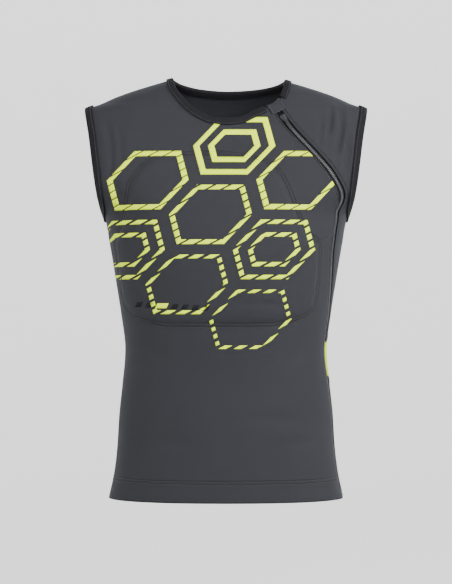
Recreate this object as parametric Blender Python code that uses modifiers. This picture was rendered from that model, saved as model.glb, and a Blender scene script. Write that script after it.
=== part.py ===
"""Sleeveless armour vest: a fitted stretch-fabric body with a chest protector sewn behind
the front, folded elastic bindings, and a zip that runs from the collar over the wearer's
left chest and down the left side to the hem.

Metres, +Z up, the wearer faces -Y and the wearer's left is +X. The origin lies midway
between the two points where the shoulders meet the collar, where the vest sits.
"""

import math
from collections import namedtuple
from functools import lru_cache

import bmesh
import bpy
import numpy as np
from mathutils import Matrix, Vector

# Driving dimensions of the vest as worn
LENGTH = 0.625
SHOULDER_HALF_WIDTH = 0.210
CHEST_DEPTH = 0.118
BACK_DEPTH = 0.105
NECK_HALF_WIDTH = 0.085
NECK_DROP_FRONT = 0.0645
NECK_DROP_BACK = 0.0125
FABRIC = 0.0016
SEAM_GAP = 0.0010
CLEARANCE = 0.0004
HEM_DEPTH = 0.028

# Protector behind the front panel
PROTECTOR_THICKNESS = 0.009
PROTECTOR_EDGE = 0.003
PROTECTOR_RELIEF = 0.003
PROTECTOR_SHOULDER = 0.040
PROTECTOR_CLEARANCE = 0.0022

# Folded bindings at the collar and the armholes
BINDING_WIDTH = 0.0085
BINDING_WALL = 0.0010
BINDING_CHANNEL = 0.0015

# Zip
ZIP_OPENING = 0.0105
TAPE_THICKNESS = 0.0008
TAPE_START = 0.0080
TAPE_UNDERLAP = 0.0055
TAPE_MIDDLE_GAP = 0.0010
TAPE_CLEARANCE = 0.0013
CHAIN_WIDTH = 0.0056
CHAIN_HEIGHT = 0.0021
SLIDER_FROM_COLLAR = 0.0245
SLIDER_LENGTH = 0.0110
SLIDER_WIDTH = 0.0088
SLIDER_PLATE = 0.0012
CROWN_LENGTH = 0.0068
CROWN_WIDTH = 0.0014
CROWN_BAR = 0.0008
PULLER_LENGTH = 0.0210
PULLER_WIDTH = 0.0052
PULLER_THICKNESS = 0.0010
PULLER_BAR = 0.0009
END_BOX_LENGTH = 0.0090
GARAGE_WIDTH = 0.0235
GARAGE_REACH = 0.0150
GARAGE_CLEARANCE = 0.0007
GARAGE_OVER = 0.0035
GARAGE_WALL = 0.0010

# Levels are shares of LENGTH below the shoulder points, and turns are degrees round the
# body: 0 at the wearer's left side, 90 at the centre front, -90 at the centre back.
Section = namedtuple("Section", "level width front back")
BODY = (
    Section(0.000, 0.386, 0.320, 0.430),
    Section(0.017, 0.557, 0.420, 0.550),
    Section(0.029, 0.671, 0.460, 0.610),
    Section(0.043, 0.786, 0.500, 0.670),
    Section(0.060, 0.900, 0.540, 0.730),
    Section(0.072, 1.000, 0.570, 0.760),
    Section(0.100, 1.100, 0.620, 0.820),
    Section(0.150, 1.160, 0.700, 0.910),
    Section(0.210, 1.155, 0.810, 0.980),
    Section(0.270, 1.060, 0.905, 1.000),
    Section(0.329, 0.867, 0.965, 0.990),
    Section(0.398, 0.826, 1.000, 0.940),
    Section(0.475, 0.788, 0.980, 0.860),
    Section(0.552, 0.752, 0.920, 0.775),
    Section(0.648, 0.719, 0.850, 0.705),
    Section(0.725, 0.738, 0.825, 0.720),
    Section(0.802, 0.762, 0.830, 0.790),
    Section(0.878, 0.776, 0.850, 0.880),
    Section(0.936, 0.796, 0.865, 0.940),
    Section(1.000, 0.836, 0.880, 0.970),
)
SECTION_POWER = 2.35

# The collar's edge: across in shares of the neck's half width, the drop in shares of its depth
NeckRow = namedtuple("NeckRow", "across drop")
COLLAR_FRONT = (
    NeckRow(-0.953, 0.000),
    NeckRow(-0.910, 0.220),
    NeckRow(-0.776, 0.480),
    NeckRow(-0.646, 0.676),
    NeckRow(-0.487, 0.826),
    NeckRow(-0.273, 0.958),
    NeckRow(0.000, 1.000),
    NeckRow(0.273, 0.958),
    NeckRow(0.444, 0.847),
    NeckRow(0.660, 0.715),
    NeckRow(0.830, 0.630),
    NeckRow(0.925, 0.510),
    NeckRow(1.010, 0.260),
    NeckRow(1.053, 0.000),
)
COLLAR_BACK = (
    NeckRow(-0.953, 0.000),
    NeckRow(-0.780, 0.420),
    NeckRow(-0.420, 0.840),
    NeckRow(0.000, 1.000),
    NeckRow(0.440, 0.840),
    NeckRow(0.860, 0.420),
    NeckRow(1.053, 0.000),
)

EdgeRow = namedtuple("EdgeRow", "level share")
ARMHOLE = (
    EdgeRow(0.060, 1.000),
    EdgeRow(0.139, 0.955),
    EdgeRow(0.206, 0.927),
    EdgeRow(0.283, 0.893),
    EdgeRow(0.329, 0.867),
)
SHOULDER_TIP_LEVEL_RANGE = (0.040, 0.090)
ARMPIT_LEVEL = 0.329
BLEND_LEVEL = 0.430
ZIP_HELD_LEVEL = 0.050
EVEN_TOP_LEVEL = 0.150
LEAST_TURN = 0.001

TurnRow = namedtuple("TurnRow", "level turn")
ZIP_PATH = (
    TurnRow(-0.010, 57.0),
    TurnRow(0.000, 60.0),
    TurnRow(0.020, 68.7),
    TurnRow(0.040, 72.0),
    TurnRow(0.060, 72.9),
    TurnRow(0.077, 73.1),
    TurnRow(0.097, 72.3),
    TurnRow(0.130, 69.3),
    TurnRow(0.181, 61.6),
    TurnRow(0.234, 52.3),
    TurnRow(0.278, 41.5),
    TurnRow(0.310, 32.0),
    TurnRow(0.345, 26.5),
    TurnRow(0.400, 26.0),
    TurnRow(0.460, 22.5),
    TurnRow(0.520, 17.5),
    TurnRow(0.580, 14.0),
    TurnRow(0.650, 15.5),
    TurnRow(0.720, 11.5),
    TurnRow(0.780, 9.5),
    TurnRow(0.845, 11.0),
    TurnRow(0.920, 8.0),
    TurnRow(1.030, 5.0),
)
SIDE_SEAM = (
    TurnRow(0.200, 0.0),
    TurnRow(0.420, 0.0),
    TurnRow(0.500, -5.0),
    TurnRow(0.600, -17.0),
    TurnRow(0.700, -25.0),
    TurnRow(0.800, -28.0),
    TurnRow(1.030, -28.0),
)

# Outline of the protector, as shares of the body's half width at each level
OutlineRow = namedtuple("OutlineRow", "level right left")
PROTECTOR = (
    OutlineRow(0.188, -0.375, -0.020),
    OutlineRow(0.195, -0.440, 0.110),
    OutlineRow(0.204, -0.470, 0.215),
    OutlineRow(0.216, -0.500, 0.283),
    OutlineRow(0.234, -0.553, 0.327),
    OutlineRow(0.255, -0.605, 0.370),
    OutlineRow(0.288, -0.676, 0.445),
    OutlineRow(0.322, -0.790, 0.550),
    OutlineRow(0.356, -0.852, 0.625),
    OutlineRow(0.378, -0.905, 0.690),
    OutlineRow(0.396, -0.934, 0.774),
    OutlineRow(0.433, -0.937, 0.790),
    OutlineRow(0.480, -0.940, 0.806),
    OutlineRow(0.520, -0.945, 0.809),
    OutlineRow(0.544, -0.915, 0.793),
    OutlineRow(0.560, -0.849, 0.733),
    OutlineRow(0.572, -0.759, 0.615),
    OutlineRow(0.582, -0.580, 0.430),
)

# The lime insert's upper and lower seams, at the zip and at the side seam
SeamEnds = namedtuple("SeamEnds", "at_zip at_seam")
INSERT_TOP = SeamEnds(0.628, 0.585)
INSERT_BOTTOM = SeamEnds(0.708, 0.770)

# How finely each surface is divided
FINE = 900
LOWER_ROWS = 14
LOWER_ROW_POWER = 1.3
UPPER_ROWS = 15
NARROW_CELL = 0.010
LEAN_POWER = 1.3
SHOULDER_CELLS = 7
FRONT_SHARES = (
    *(0.000, 0.024, 0.065, 0.115, 0.170, 0.230, 0.300),
    *(0.375, 0.450, 0.525, 0.600, 0.670, 0.735, 0.795, 0.850, 0.900, 0.945, 0.976, 1.000),
)
BACK_SHARES = (
    *(0.000, 0.024, 0.060, 0.105, 0.155, 0.210, 0.275),
    *(0.350, 0.375, 0.405, 0.435, 0.467, 0.500, 0.533, 0.565, 0.595, 0.625, 0.650),
    *(0.725, 0.790, 0.845, 0.895, 0.940, 0.976, 1.000),
)
SIDE_SHARES = (
    *(0.000, 0.100, 0.190, 0.270),
    *(0.340, 0.420, 0.510, 0.610, 0.710, 0.820, 0.920, 1.000),
)
FRONT_COLLAR = (0.07, 0.14, 0.22, 0.31, 0.40, 0.50, 0.61, 0.72, 0.84, 0.945, 1.00)
BACK_COLLAR = (0.09, 0.18, 0.28, 0.39, 0.50, 0.61, 0.72, 0.82, 0.91)
SIDE_COLLAR = (0.00, 0.30, 0.58, 0.82)
HIP_SHARES = (0.000, 0.160, 0.440, 0.720, 1.000)
ZIP_STATIONS = 46

Paint = namedtuple("Paint", "name colour roughness metallic")
GREY_FABRIC = Paint("grey_stretch_fabric", (0.070, 0.072, 0.081), 0.80, 0.0)
BLACK_BINDING = Paint("black_binding", (0.018, 0.018, 0.022), 0.70, 0.0)
LIME_FABRIC = Paint("lime_stretch_fabric", (0.780, 0.960, 0.050), 0.70, 0.0)
PROTECTOR_FOAM = Paint("protector_foam", (0.030, 0.031, 0.034), 0.85, 0.0)
BLACK_TAPE = Paint("zip_tape", (0.014, 0.014, 0.017), 0.75, 0.0)
COIL_PLASTIC = Paint("zip_coil", (0.040, 0.040, 0.045), 0.35, 0.0)
SLIDER_METAL = Paint("black_slider_metal", (0.020, 0.020, 0.023), 0.35, 0.8)


def clear_scene():
    """Removes what the opened scene holds."""
    for old in list(bpy.data.objects):
        bpy.data.objects.remove(old, do_unlink=True)


@lru_cache(maxsize=None)
def knots(rows, column):
    """Places (the first column), values and slopes for a curve with no overshoot."""
    at = np.array([row[0] for row in rows])
    value = np.array([getattr(row, column) for row in rows])
    step = np.diff(at)
    slope = np.diff(value) / step
    tangent = np.concatenate([slope[:1], np.zeros(len(at) - 2), slope[-1:]])
    for i in range(1, len(at) - 1):
        if slope[i - 1] * slope[i] > 0:
            before = 2 * step[i] + step[i - 1]
            after = step[i] + 2 * step[i - 1]
            tangent[i] = (before + after) / (before / slope[i - 1] + after / slope[i])
    return at, value, step, tangent


def smooth_through(rows, column, level):
    """The value of a named column at a level."""
    at, value, step, tangent = knots(rows, column)
    asked = np.asarray(level, float)
    level = np.clip(asked, at[0], at[-1])
    i = np.clip(np.searchsorted(at, level) - 1, 0, len(at) - 2)
    t = (level - at[i]) / step[i]
    beyond = (asked - level) * np.where(asked < level, tangent[0], tangent[-1])
    return (
        beyond
        + value[i] * (2 * t**3 - 3 * t**2 + 1)
        + value[i + 1] * (3 * t**2 - 2 * t**3)
        + step[i] * (tangent[i] * (t**3 - 2 * t**2 + t) + tangent[i + 1] * (t**3 - t**2))
    )


def half_width(level):
    """Half the body's width at a level."""
    return SHOULDER_HALF_WIDTH * smooth_through(BODY, "width", level)


def depth(level, turn):
    """How far the body reaches forwards, or backwards for a turn behind the sides."""
    front = CHEST_DEPTH * smooth_through(BODY, "front", level)
    back = BACK_DEPTH * smooth_through(BODY, "back", level)
    return np.where(np.sin(np.radians(turn)) >= 0, front, back)


def ease(t):
    """0 to 1 with flat ends."""
    t = np.clip(t, 0.0, 1.0)
    return t * t * (3 - 2 * t)


def protector_relief(level, turn):
    """How far the protector pushes the fabric out, full inside its outline and easing to 0."""
    level, turn = np.broadcast_arrays(np.asarray(level, float), np.asarray(turn, float))
    across = np.cos(np.radians(turn))
    x = half_width(level) * np.sign(across) * np.abs(across) ** (2 / SECTION_POWER)
    inside = np.clip(level, PROTECTOR[0].level, PROTECTOR[-1].level)
    wide = half_width(inside)
    from_right = x - wide * smooth_through(PROTECTOR, "right", inside)
    from_left = wide * smooth_through(PROTECTOR, "left", inside) - x
    from_top = (level - PROTECTOR[0].level) * LENGTH
    from_bottom = (PROTECTOR[-1].level - level) * LENGTH
    share = np.ones(level.shape)
    for distance in (from_right, from_left, from_top, from_bottom):
        share = share * ease(distance / PROTECTOR_SHOULDER + 0.35)
    return np.where(np.sin(np.radians(turn)) > 0, PROTECTOR_RELIEF * share, 0.0)


def body_point(level, turn):
    """Points on the uncut outer surface, whose front and back part a little above the seams."""
    level, turn = np.broadcast_arrays(np.asarray(level, float), np.asarray(turn, float))
    across, along = np.cos(np.radians(turn)), np.sin(np.radians(turn))
    power = 2 / SECTION_POWER
    out_x = np.sign(across) * np.abs(across) ** power
    out_y = -np.sign(along) * np.abs(along) ** power
    relief = protector_relief(level, turn)
    x = (half_width(level) + relief) * out_x
    y = (depth(level, turn) + relief) * out_y
    parted = ease((BLEND_LEVEL - level) / (BLEND_LEVEL - ARMPIT_LEVEL))
    y = y - np.sign(along) * parted * SEAM_GAP / 2
    return np.stack([x, y, -level * LENGTH], axis=-1)


def turn_at(level, x, y):
    """The turn of a point on or near the body."""
    turn_side = np.where(np.asarray(y) <= 0, 1.0, -1.0)
    deep = np.where(
        turn_side > 0,
        CHEST_DEPTH * smooth_through(BODY, "front", level),
        BACK_DEPTH * smooth_through(BODY, "back", level),
    )
    power = SECTION_POWER / 2
    along = (np.abs(y) / deep) ** power
    across = np.sign(x) * (np.abs(x) / half_width(level)) ** power
    return turn_side * np.degrees(np.arctan2(along, across))


def turn_across(level, x, side):
    """The turn on the front (side 1) or back (side -1) where the body is x off centre."""
    share = np.clip(np.abs(x) / half_width(level), 0.0, 1.0) ** (SECTION_POWER / 2)
    turn = np.degrees(np.arccos(np.sign(x) * share))
    return side * np.clip(turn, LEAST_TURN, 180 - LEAST_TURN)


def outward(level, turn):
    """Unit normals of the outer surface."""
    small_level, small_turn = 1e-4, 0.05
    up = body_point(level - small_level, turn) - body_point(level + small_level, turn)
    round_it = body_point(level, turn - small_turn) - body_point(level, turn + small_turn)
    normal = np.cross(round_it, up)
    return normal / np.linalg.norm(normal, axis=-1, keepdims=True)


def root(function, low, high):
    """Where a function changes sign between low and high."""
    sign_low = function(low) > 0
    for _ in range(48):
        middle = (low + high) / 2
        if (function(middle) > 0) == sign_low:
            low = middle
        else:
            high = middle
    return (low + high) / 2


def armhole_x(level):
    """Distance from the centre to the armhole's edge."""
    return SHOULDER_HALF_WIDTH * smooth_through(ARMHOLE, "share", level)


TIP_LEVEL = root(lambda v: half_width(v) - armhole_x(v), *SHOULDER_TIP_LEVEL_RANGE)


@lru_cache(maxsize=None)
def shoulder_level(x):
    """The level of the shoulder line, x off centre."""
    return root(lambda v: half_width(v) - abs(x), -0.02, TIP_LEVEL + 0.01)


NECK_RIGHT = NECK_HALF_WIDTH * COLLAR_FRONT[0].across
NECK_LEFT = NECK_HALF_WIDTH * COLLAR_FRONT[-1].across


def top_level(x, side):
    """The level where the fabric ends at the top: the collar's edge, or the shoulder line."""
    if not NECK_RIGHT < x < NECK_LEFT:
        return shoulder_level(x)
    rows, depth_ = (
        (COLLAR_FRONT, NECK_DROP_FRONT) if side > 0 else (COLLAR_BACK, NECK_DROP_BACK)
    )
    ends = (shoulder_level(NECK_RIGHT), shoulder_level(NECK_LEFT))
    drop = depth_ * float(smooth_through(rows, "drop", x / NECK_HALF_WIDTH))
    return float(np.interp(x, (NECK_RIGHT, NECK_LEFT), ends)) + drop / LENGTH


def arc_lengths(points):
    """Distance along a polyline, from 0 at its first point."""
    steps = np.linalg.norm(np.diff(points, axis=0), axis=1)
    return np.concatenate([[0.0], np.cumsum(steps)])


def spread_along(points, places):
    """Points at given shares of a polyline's length."""
    along = arc_lengths(points)
    return np.stack([np.interp(places * along[-1], along, points[:, k]) for k in range(3)], axis=1)


Line = namedtuple("Line", "points normal across")


def surface_line(path):
    """A line on the body, with its outward normals and its directions towards the left."""
    level = np.linspace(path[0].level, path[-1].level, FINE)
    turn = smooth_through(path, "turn", level)
    points = body_point(level, turn)
    along = np.gradient(points, axis=0)
    along /= np.linalg.norm(along, axis=1, keepdims=True)
    normal = outward(level, turn)
    across = np.cross(along, normal)
    across /= np.linalg.norm(across, axis=1, keepdims=True)
    left = body_point(level, turn - 1.0) - points
    across *= np.sign(np.sum(across * left, axis=1, keepdims=True))
    return Line(points, normal, across)


def beside(line, offset):
    """The line that runs beside another, as a function from level to turn."""
    moved = line.points + line.across * offset
    level = -moved[:, 2] / LENGTH
    turn = turn_at(level, moved[:, 0], moved[:, 1])
    order = np.argsort(level)
    return lambda v: np.interp(v, level[order], turn[order])


ZIP = surface_line(ZIP_PATH)
SEAM = surface_line(SIDE_SEAM)
FRONT_ZIP_EDGE = beside(ZIP, -ZIP_OPENING / 2)
SIDE_ZIP_EDGE = beside(ZIP, ZIP_OPENING / 2)
SEAM_FRONT_EDGE = beside(SEAM, -SEAM_GAP / 2)
SEAM_BACK_EDGE = beside(SEAM, SEAM_GAP / 2)


def edge_x(edge_turn, level):
    """x of an edge that is given by its turn, held above the collar."""
    held = np.maximum(level, ZIP_HELD_LEVEL)
    return body_point(held, edge_turn(held))[..., 0]


Edge = namedtuple("Edge", "turn x")
ZIP_SIDE_OF_FRONT = Edge(FRONT_ZIP_EDGE, lambda v: edge_x(FRONT_ZIP_EDGE, v))
ZIP_SIDE_OF_SIDE = Edge(SIDE_ZIP_EDGE, lambda v: edge_x(SIDE_ZIP_EDGE, v))


def outer_turn(seam, side):
    """The turn of a panel's outer edge: the side seam, and the armhole above it."""

    def turn(level):
        level = np.asarray(level, float)
        return np.where(level < ARMPIT_LEVEL, turn_across(level, armhole_x(level), side), seam(level))

    return turn


LEFT_OUTER = Edge(outer_turn(SEAM_FRONT_EDGE, 1), armhole_x)
RIGHT_OUTER = Edge(lambda v: 180 - LEFT_OUTER.turn(v), lambda v: -armhole_x(v))
BACK_LEFT = Edge(outer_turn(SEAM_BACK_EDGE, -1), armhole_x)
BACK_RIGHT = Edge(lambda v: -180 - BACK_LEFT.turn(v), lambda v: -armhole_x(v))


def turn_between(start, end, share, lean, level, side):
    """The turn at a share of the way between two edges: by angle low down, by x at the top."""
    low = (1 - share) * start.turn(level) + share * end.turn(level)
    blend = ease((ARMPIT_LEVEL - level) / (ARMPIT_LEVEL - EVEN_TOP_LEVEL))
    high_x = (1 - share) * start.x(level) + share * end.x(level) + lean
    high = turn_across(level, high_x, side)
    return (1 - blend) * low + blend * high


def lower_levels(bottom, rows):
    """Levels from a panel's bottom to the armpit, closer together at the armpit."""
    return ARMPIT_LEVEL + (bottom - ARMPIT_LEVEL) * np.linspace(1, 0, rows) ** LOWER_ROW_POWER


def column(start, end, share, top_x, side, bottom, rows):
    """One column of fabric points, from its bottom row to the collar or the shoulder line."""
    highest = top_level(top_x, side)
    miss = top_x - float((1 - share) * start.x(highest) + share * end.x(highest))

    fine = highest + (ARMPIT_LEVEL - highest) * np.linspace(1.0, 0.0, FINE) ** 2
    rise = np.clip((ARMPIT_LEVEL - fine) / (ARMPIT_LEVEL - highest), 0.0, 1.0)
    for _ in range(2):
        lean = miss * rise**LEAN_POWER
        high = body_point(fine, turn_between(start, end, share, lean, fine, side))
        rise = arc_lengths(high) / arc_lengths(high)[-1]
    fixed = lower_levels(bottom, rows)
    low = body_point(fixed, turn_between(start, end, share, 0.0, fixed, side))
    last = 1 - NARROW_CELL / arc_lengths(high)[-1]
    high = spread_along(high, np.append(np.linspace(0, last, UPPER_ROWS)[1:], 1.0))
    return np.concatenate([low, high])


def grid(start, end, shares, top_xs, side, rows=LOWER_ROWS, bottom=lambda share: 1.0):
    """A panel's outer surface: rows upwards, columns from its start edge to its end edge."""
    columns = [
        column(start, end, share, top_x, side, bottom(share), rows)
        for share, top_x in zip(shares, top_xs)
    ]
    return np.stack(columns, axis=1)


def low_grid(start, end, shares, rows, bottom, top):
    """A panel wholly below the arms, between two slanting seams."""
    columns = []
    for share in shares:
        level = np.linspace(bottom(share), top(share), rows)
        turn = (1 - share) * start.turn(level) + share * end.turn(level)
        columns.append(body_point(level, turn))
    return np.stack(columns, axis=1)


def along_collar(first_x, last_x, side, stops):
    """Distances across the body at shares of the collar's length between two of its points."""
    xs = np.linspace(first_x, last_x, FINE)
    level = np.array([top_level(x, side) for x in xs])
    along = arc_lengths(body_point(level, turn_across(level, xs, side)))
    return list(np.interp(np.array(stops) * along[-1], along, xs))


def along_shoulder(first_x, last_x, cells):
    """Distances across the body along the shoulder line, with a narrow cell at each end."""
    step = math.copysign(NARROW_CELL, last_x - first_x)
    return [first_x, *np.linspace(first_x + step, last_x - step, cells - 1), last_x]


def collar_crossing(edge):
    """x where an edge of the zip's opening meets the collar."""
    level = root(lambda v: v - top_level(float(edge.x(v)), 1), ZIP_HELD_LEVEL, 0.12)
    return float(edge.x(level))


def paint(item):
    """A material with the part's colour, roughness and metallic value."""
    material = bpy.data.materials.get(item.name)
    if material is None:
        material = bpy.data.materials.new(item.name)
        material.use_nodes = True
        shader = material.node_tree.nodes["Principled BSDF"]
        shader.inputs["Base Color"].default_value = (*item.colour, 1.0)
        shader.inputs["Roughness"].default_value = item.roughness
        shader.inputs["Metallic"].default_value = item.metallic
    return material


def add_object(name, mesh, finish, smooth=True):
    """Links a mesh to the vest's collection as a named object."""
    if smooth:
        mesh.shade_smooth()
        mesh.set_sharp_from_angle(angle=math.radians(40))
    mesh.materials.append(paint(finish))
    made = bpy.data.objects.new(name, mesh)
    VEST.objects.link(made)
    return made


def fix_triangles(made):
    """Splits every face into triangles one way, so that close pieces keep their clearance."""
    split = made.modifiers.new("fixed triangles", "TRIANGULATE")
    split.quad_method = "SHORTEST_DIAGONAL"
    return made


def grid_faces(rows, columns, wrap=False):
    """Faces of a grid whose rows run upwards and columns run clockwise round the body."""
    last = columns if wrap else columns - 1
    return [
        (
            r * columns + c,
            r * columns + (c + 1) % columns,
            (r + 1) * columns + (c + 1) % columns,
            (r + 1) * columns + c,
        )
        for r in range(rows - 1)
        for c in range(last)
    ]


def sheet(name, points, finish, wall=FABRIC):
    """A cloth piece: an open surface with its thickness behind it."""
    rows, columns = points.shape[:2]
    mesh = bpy.data.meshes.new(name)
    mesh.from_pydata(points.reshape(-1, 3).tolist(), [], grid_faces(rows, columns))
    made = add_object(name, mesh, finish)
    thickness = made.modifiers.new("fabric thickness", "SOLIDIFY")
    thickness.thickness = wall
    thickness.offset = -1.0
    return fix_triangles(made)


def swept(name, stations, outline, finish, closed=False, follow=False):
    """A strip of constant section along (point, across, outward) frames, or on the body."""
    ring = len(outline)
    points = [
        on_surface(origin + across * a, n) if follow and a > 0 else origin + across * a + normal * n
        for origin, across, normal in stations
        for a, n in outline
    ]
    faces = []
    count = len(stations)
    for s in range(count if closed else count - 1):
        here, there = s * ring, (s + 1) % count * ring
        faces += [
            (here + k, here + (k + 1) % ring, there + (k + 1) % ring, there + k)
            for k in range(ring)
        ]
    if not closed:
        faces.append(tuple(range(ring)))
        faces.append(tuple(reversed(range((count - 1) * ring, count * ring))))
    mesh = bpy.data.meshes.new(name)
    mesh.from_pydata([tuple(p) for p in points], [], faces)
    shape = bmesh.new()
    shape.from_mesh(mesh)
    bmesh.ops.recalc_face_normals(shape, faces=shape.faces)
    shape.to_mesh(mesh)
    shape.free()
    return fix_triangles(add_object(name, mesh, finish))


def unit(vector):
    return vector / np.linalg.norm(vector)


def edge_frames(edge, closed):
    """Frames along a cut edge: across points into the fabric, normal points out of it."""
    count = len(edge)
    centre = np.mean(edge, axis=0)
    frames = []
    for i, point in enumerate(edge):
        before = edge[(i - 1) % count] if closed or i > 0 else point
        after = edge[(i + 1) % count] if closed or i < count - 1 else point
        level = -point[2] / LENGTH
        normal = outward(level, turn_at(level, point[0], point[1]))
        along = unit(after - before)
        across = unit(np.cross(normal, along))
        if np.dot(across, point - centre) < 0:
            across = -across
        frames.append((point, across, unit(np.cross(along, across)) * 1.0))
        if np.dot(frames[-1][2], normal) < 0:
            frames[-1] = (point, across, -frames[-1][2])
    return frames


def binding_outline():
    """Section of a folded binding round the fabric's edge, with the fabric's channel open."""
    inner, outer = BINDING_CHANNEL, BINDING_CHANNEL + BINDING_WALL
    below = FABRIC
    bend = BINDING_WALL
    return [
        (BINDING_WIDTH, outer),
        (-outer + bend, outer),
        (-outer, outer - bend),
        (-outer, -below - outer + bend),
        (-outer + bend, -below - outer),
        (BINDING_WIDTH, -below - outer),
        (BINDING_WIDTH, -below - inner),
        (-inner, -below - inner),
        (-inner, inner),
        (BINDING_WIDTH, inner),
    ]


def joined_edge(*runs):
    """Several edge runs as one line, with the two points at each seam made one."""
    line = list(runs[0])
    for run in runs[1:]:
        line[-1] = (line[-1] + run[0]) / 2
        line += list(run[1:])
    return line


def armhole_run(points, rows, col):
    """The armhole's part of a panel's outer column, from the armpit up to the shoulder."""
    return points[rows - 1 :, col]


def make_armhole_binding(name, front_run, back_run):
    """A folded elastic binding round one armhole."""
    line = joined_edge(front_run, back_run[::-1])
    line[0] = (line[0] + line[-1]) / 2
    frames = edge_frames(line[:-1], True)
    return swept(name, frames, binding_outline(), BLACK_BINDING, closed=True, follow=True)


def cut_back(edge, middle, keep_off):
    """Starts an edge run where it is a given distance from a point."""
    along = arc_lengths(edge)
    fine = spread_along(edge, np.linspace(0, 1, FINE))
    first = int(np.argmax(np.linalg.norm(fine - middle, axis=1) > keep_off))
    start = along[-1] * first / (FINE - 1)
    return np.concatenate([[fine[first]], edge[along > start + 2 * CLEARANCE]])


def zip_frames(places):
    """Frames along the zip's centre at lengths below the collar's edge."""
    start = zip_start()
    along = arc_lengths(ZIP.points[start:])

    def at(source, place):
        return np.array([np.interp(place, along, source[start:][:, k]) for k in range(3)])

    return [
        (at(ZIP.points, place), unit(at(ZIP.across, place)), unit(at(ZIP.normal, place)))
        for place in places
    ]


@lru_cache(maxsize=None)
def zip_start():
    """The index of the zip's centre line where it crosses the collar's edge."""
    for i, point in enumerate(ZIP.points):
        if point[2] < 0 and -point[2] / LENGTH > top_level(float(point[0]), 1):
            return i
    return 0


def zip_end():
    """The length of the zip from the collar's edge to the hem."""
    line = ZIP.points[zip_start() :]
    along = arc_lengths(line)
    return float(np.interp(LENGTH, -line[:, 2], along))


def on_surface(point, lift):
    """The place on the body beside a point, lifted off it by a length."""
    level = -point[2] / LENGTH
    turn = float(turn_at(level, point[0], point[1]))
    return body_point(level, turn) + outward(level, turn) * lift


def make_tape(name, side, places):
    """One woven zip tape, sewn behind a panel's edge."""
    top = -(FABRIC + TAPE_CLEARANCE)
    inner = TAPE_MIDDLE_GAP / 2
    outer = ZIP_OPENING / 2 + TAPE_UNDERLAP
    middle = (inner + outer) / 2
    stations = zip_frames(places)
    rows = []
    for point, across, _ in stations:
        rows.append([on_surface(point + across * side * a, top) for a in (inner, middle, outer)])
    points = np.array(rows)
    order = points if side > 0 else points[:, ::-1]
    return sheet(name, order[::-1], BLACK_TAPE, TAPE_THICKNESS)


def make_chain(places):
    """The closed coil, as one bar along the middle of both tapes."""
    low = -(FABRIC + TAPE_CLEARANCE) + CLEARANCE
    high = low + CHAIN_HEIGHT
    half, chamfer = CHAIN_WIDTH / 2, CHAIN_HEIGHT / 4
    outline = [
        (-half, low),
        (half, low),
        (half, high - chamfer),
        (half - chamfer, high),
        (-half + chamfer, high),
        (-half, high - chamfer),
    ]
    return swept("zip_chain", zip_frames(places), outline, COIL_PLASTIC)


def frame_matrix(place):
    """The local frame at a length below the collar: X across, Y up the zip, Z out of the fabric."""
    before, at, after = zip_frames((place - 0.001, place, place + 0.001))
    up = unit(before[0] - after[0])
    normal = unit(at[2] - up * np.dot(at[2], up))
    across = np.cross(up, normal)
    matrix = Matrix.Identity(4)
    for k, axis in enumerate((across, up, normal)):
        matrix.col[k][:3] = axis
    matrix.translation = Vector(at[0])
    return matrix


def box(shape, low, high):
    """Adds a box to a bmesh between two corners, and returns its vertices."""
    low, high = Vector(low), Vector(high)
    made = bmesh.ops.create_cube(shape, size=1.0)["verts"]
    for vertex in made:
        vertex.co = Vector(
            (low[k] + high[k]) / 2 + vertex.co[k] * (high[k] - low[k]) for k in range(3)
        )
    return made


def box_object(name, low, high):
    """A box as an object, for joining or cutting."""
    shape = bmesh.new()
    box(shape, low, high)
    mesh = bpy.data.meshes.new(name)
    shape.to_mesh(mesh)
    shape.free()
    return bpy.data.objects.new(name, mesh)


def helper(made, matrix):
    """Puts a cutter or a joined shape in the helpers' collection, out of the render."""
    HELPERS.objects.link(made)
    made.matrix_world = matrix
    made.hide_render = True
    made.display_type = "WIRE"
    return made


def boolean(target, other, operation):
    step = target.modifiers.new(other.name, "BOOLEAN")
    step.object = other
    step.operation = operation
    step.solver = "EXACT"


SLIDER_FLOOR = -(FABRIC + TAPE_CLEARANCE) + CLEARANCE
CHAIN_TOP = SLIDER_FLOOR + CHAIN_HEIGHT
SLIDER_TOP = CHAIN_TOP + 1.5 * CLEARANCE + SLIDER_PLATE
HINGE_HEIGHT = SLIDER_TOP + CLEARANCE + PULLER_THICKNESS / 2
CROWN_UNDER = HINGE_HEIGHT + PULLER_BAR / 2 + CLEARANCE


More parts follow.
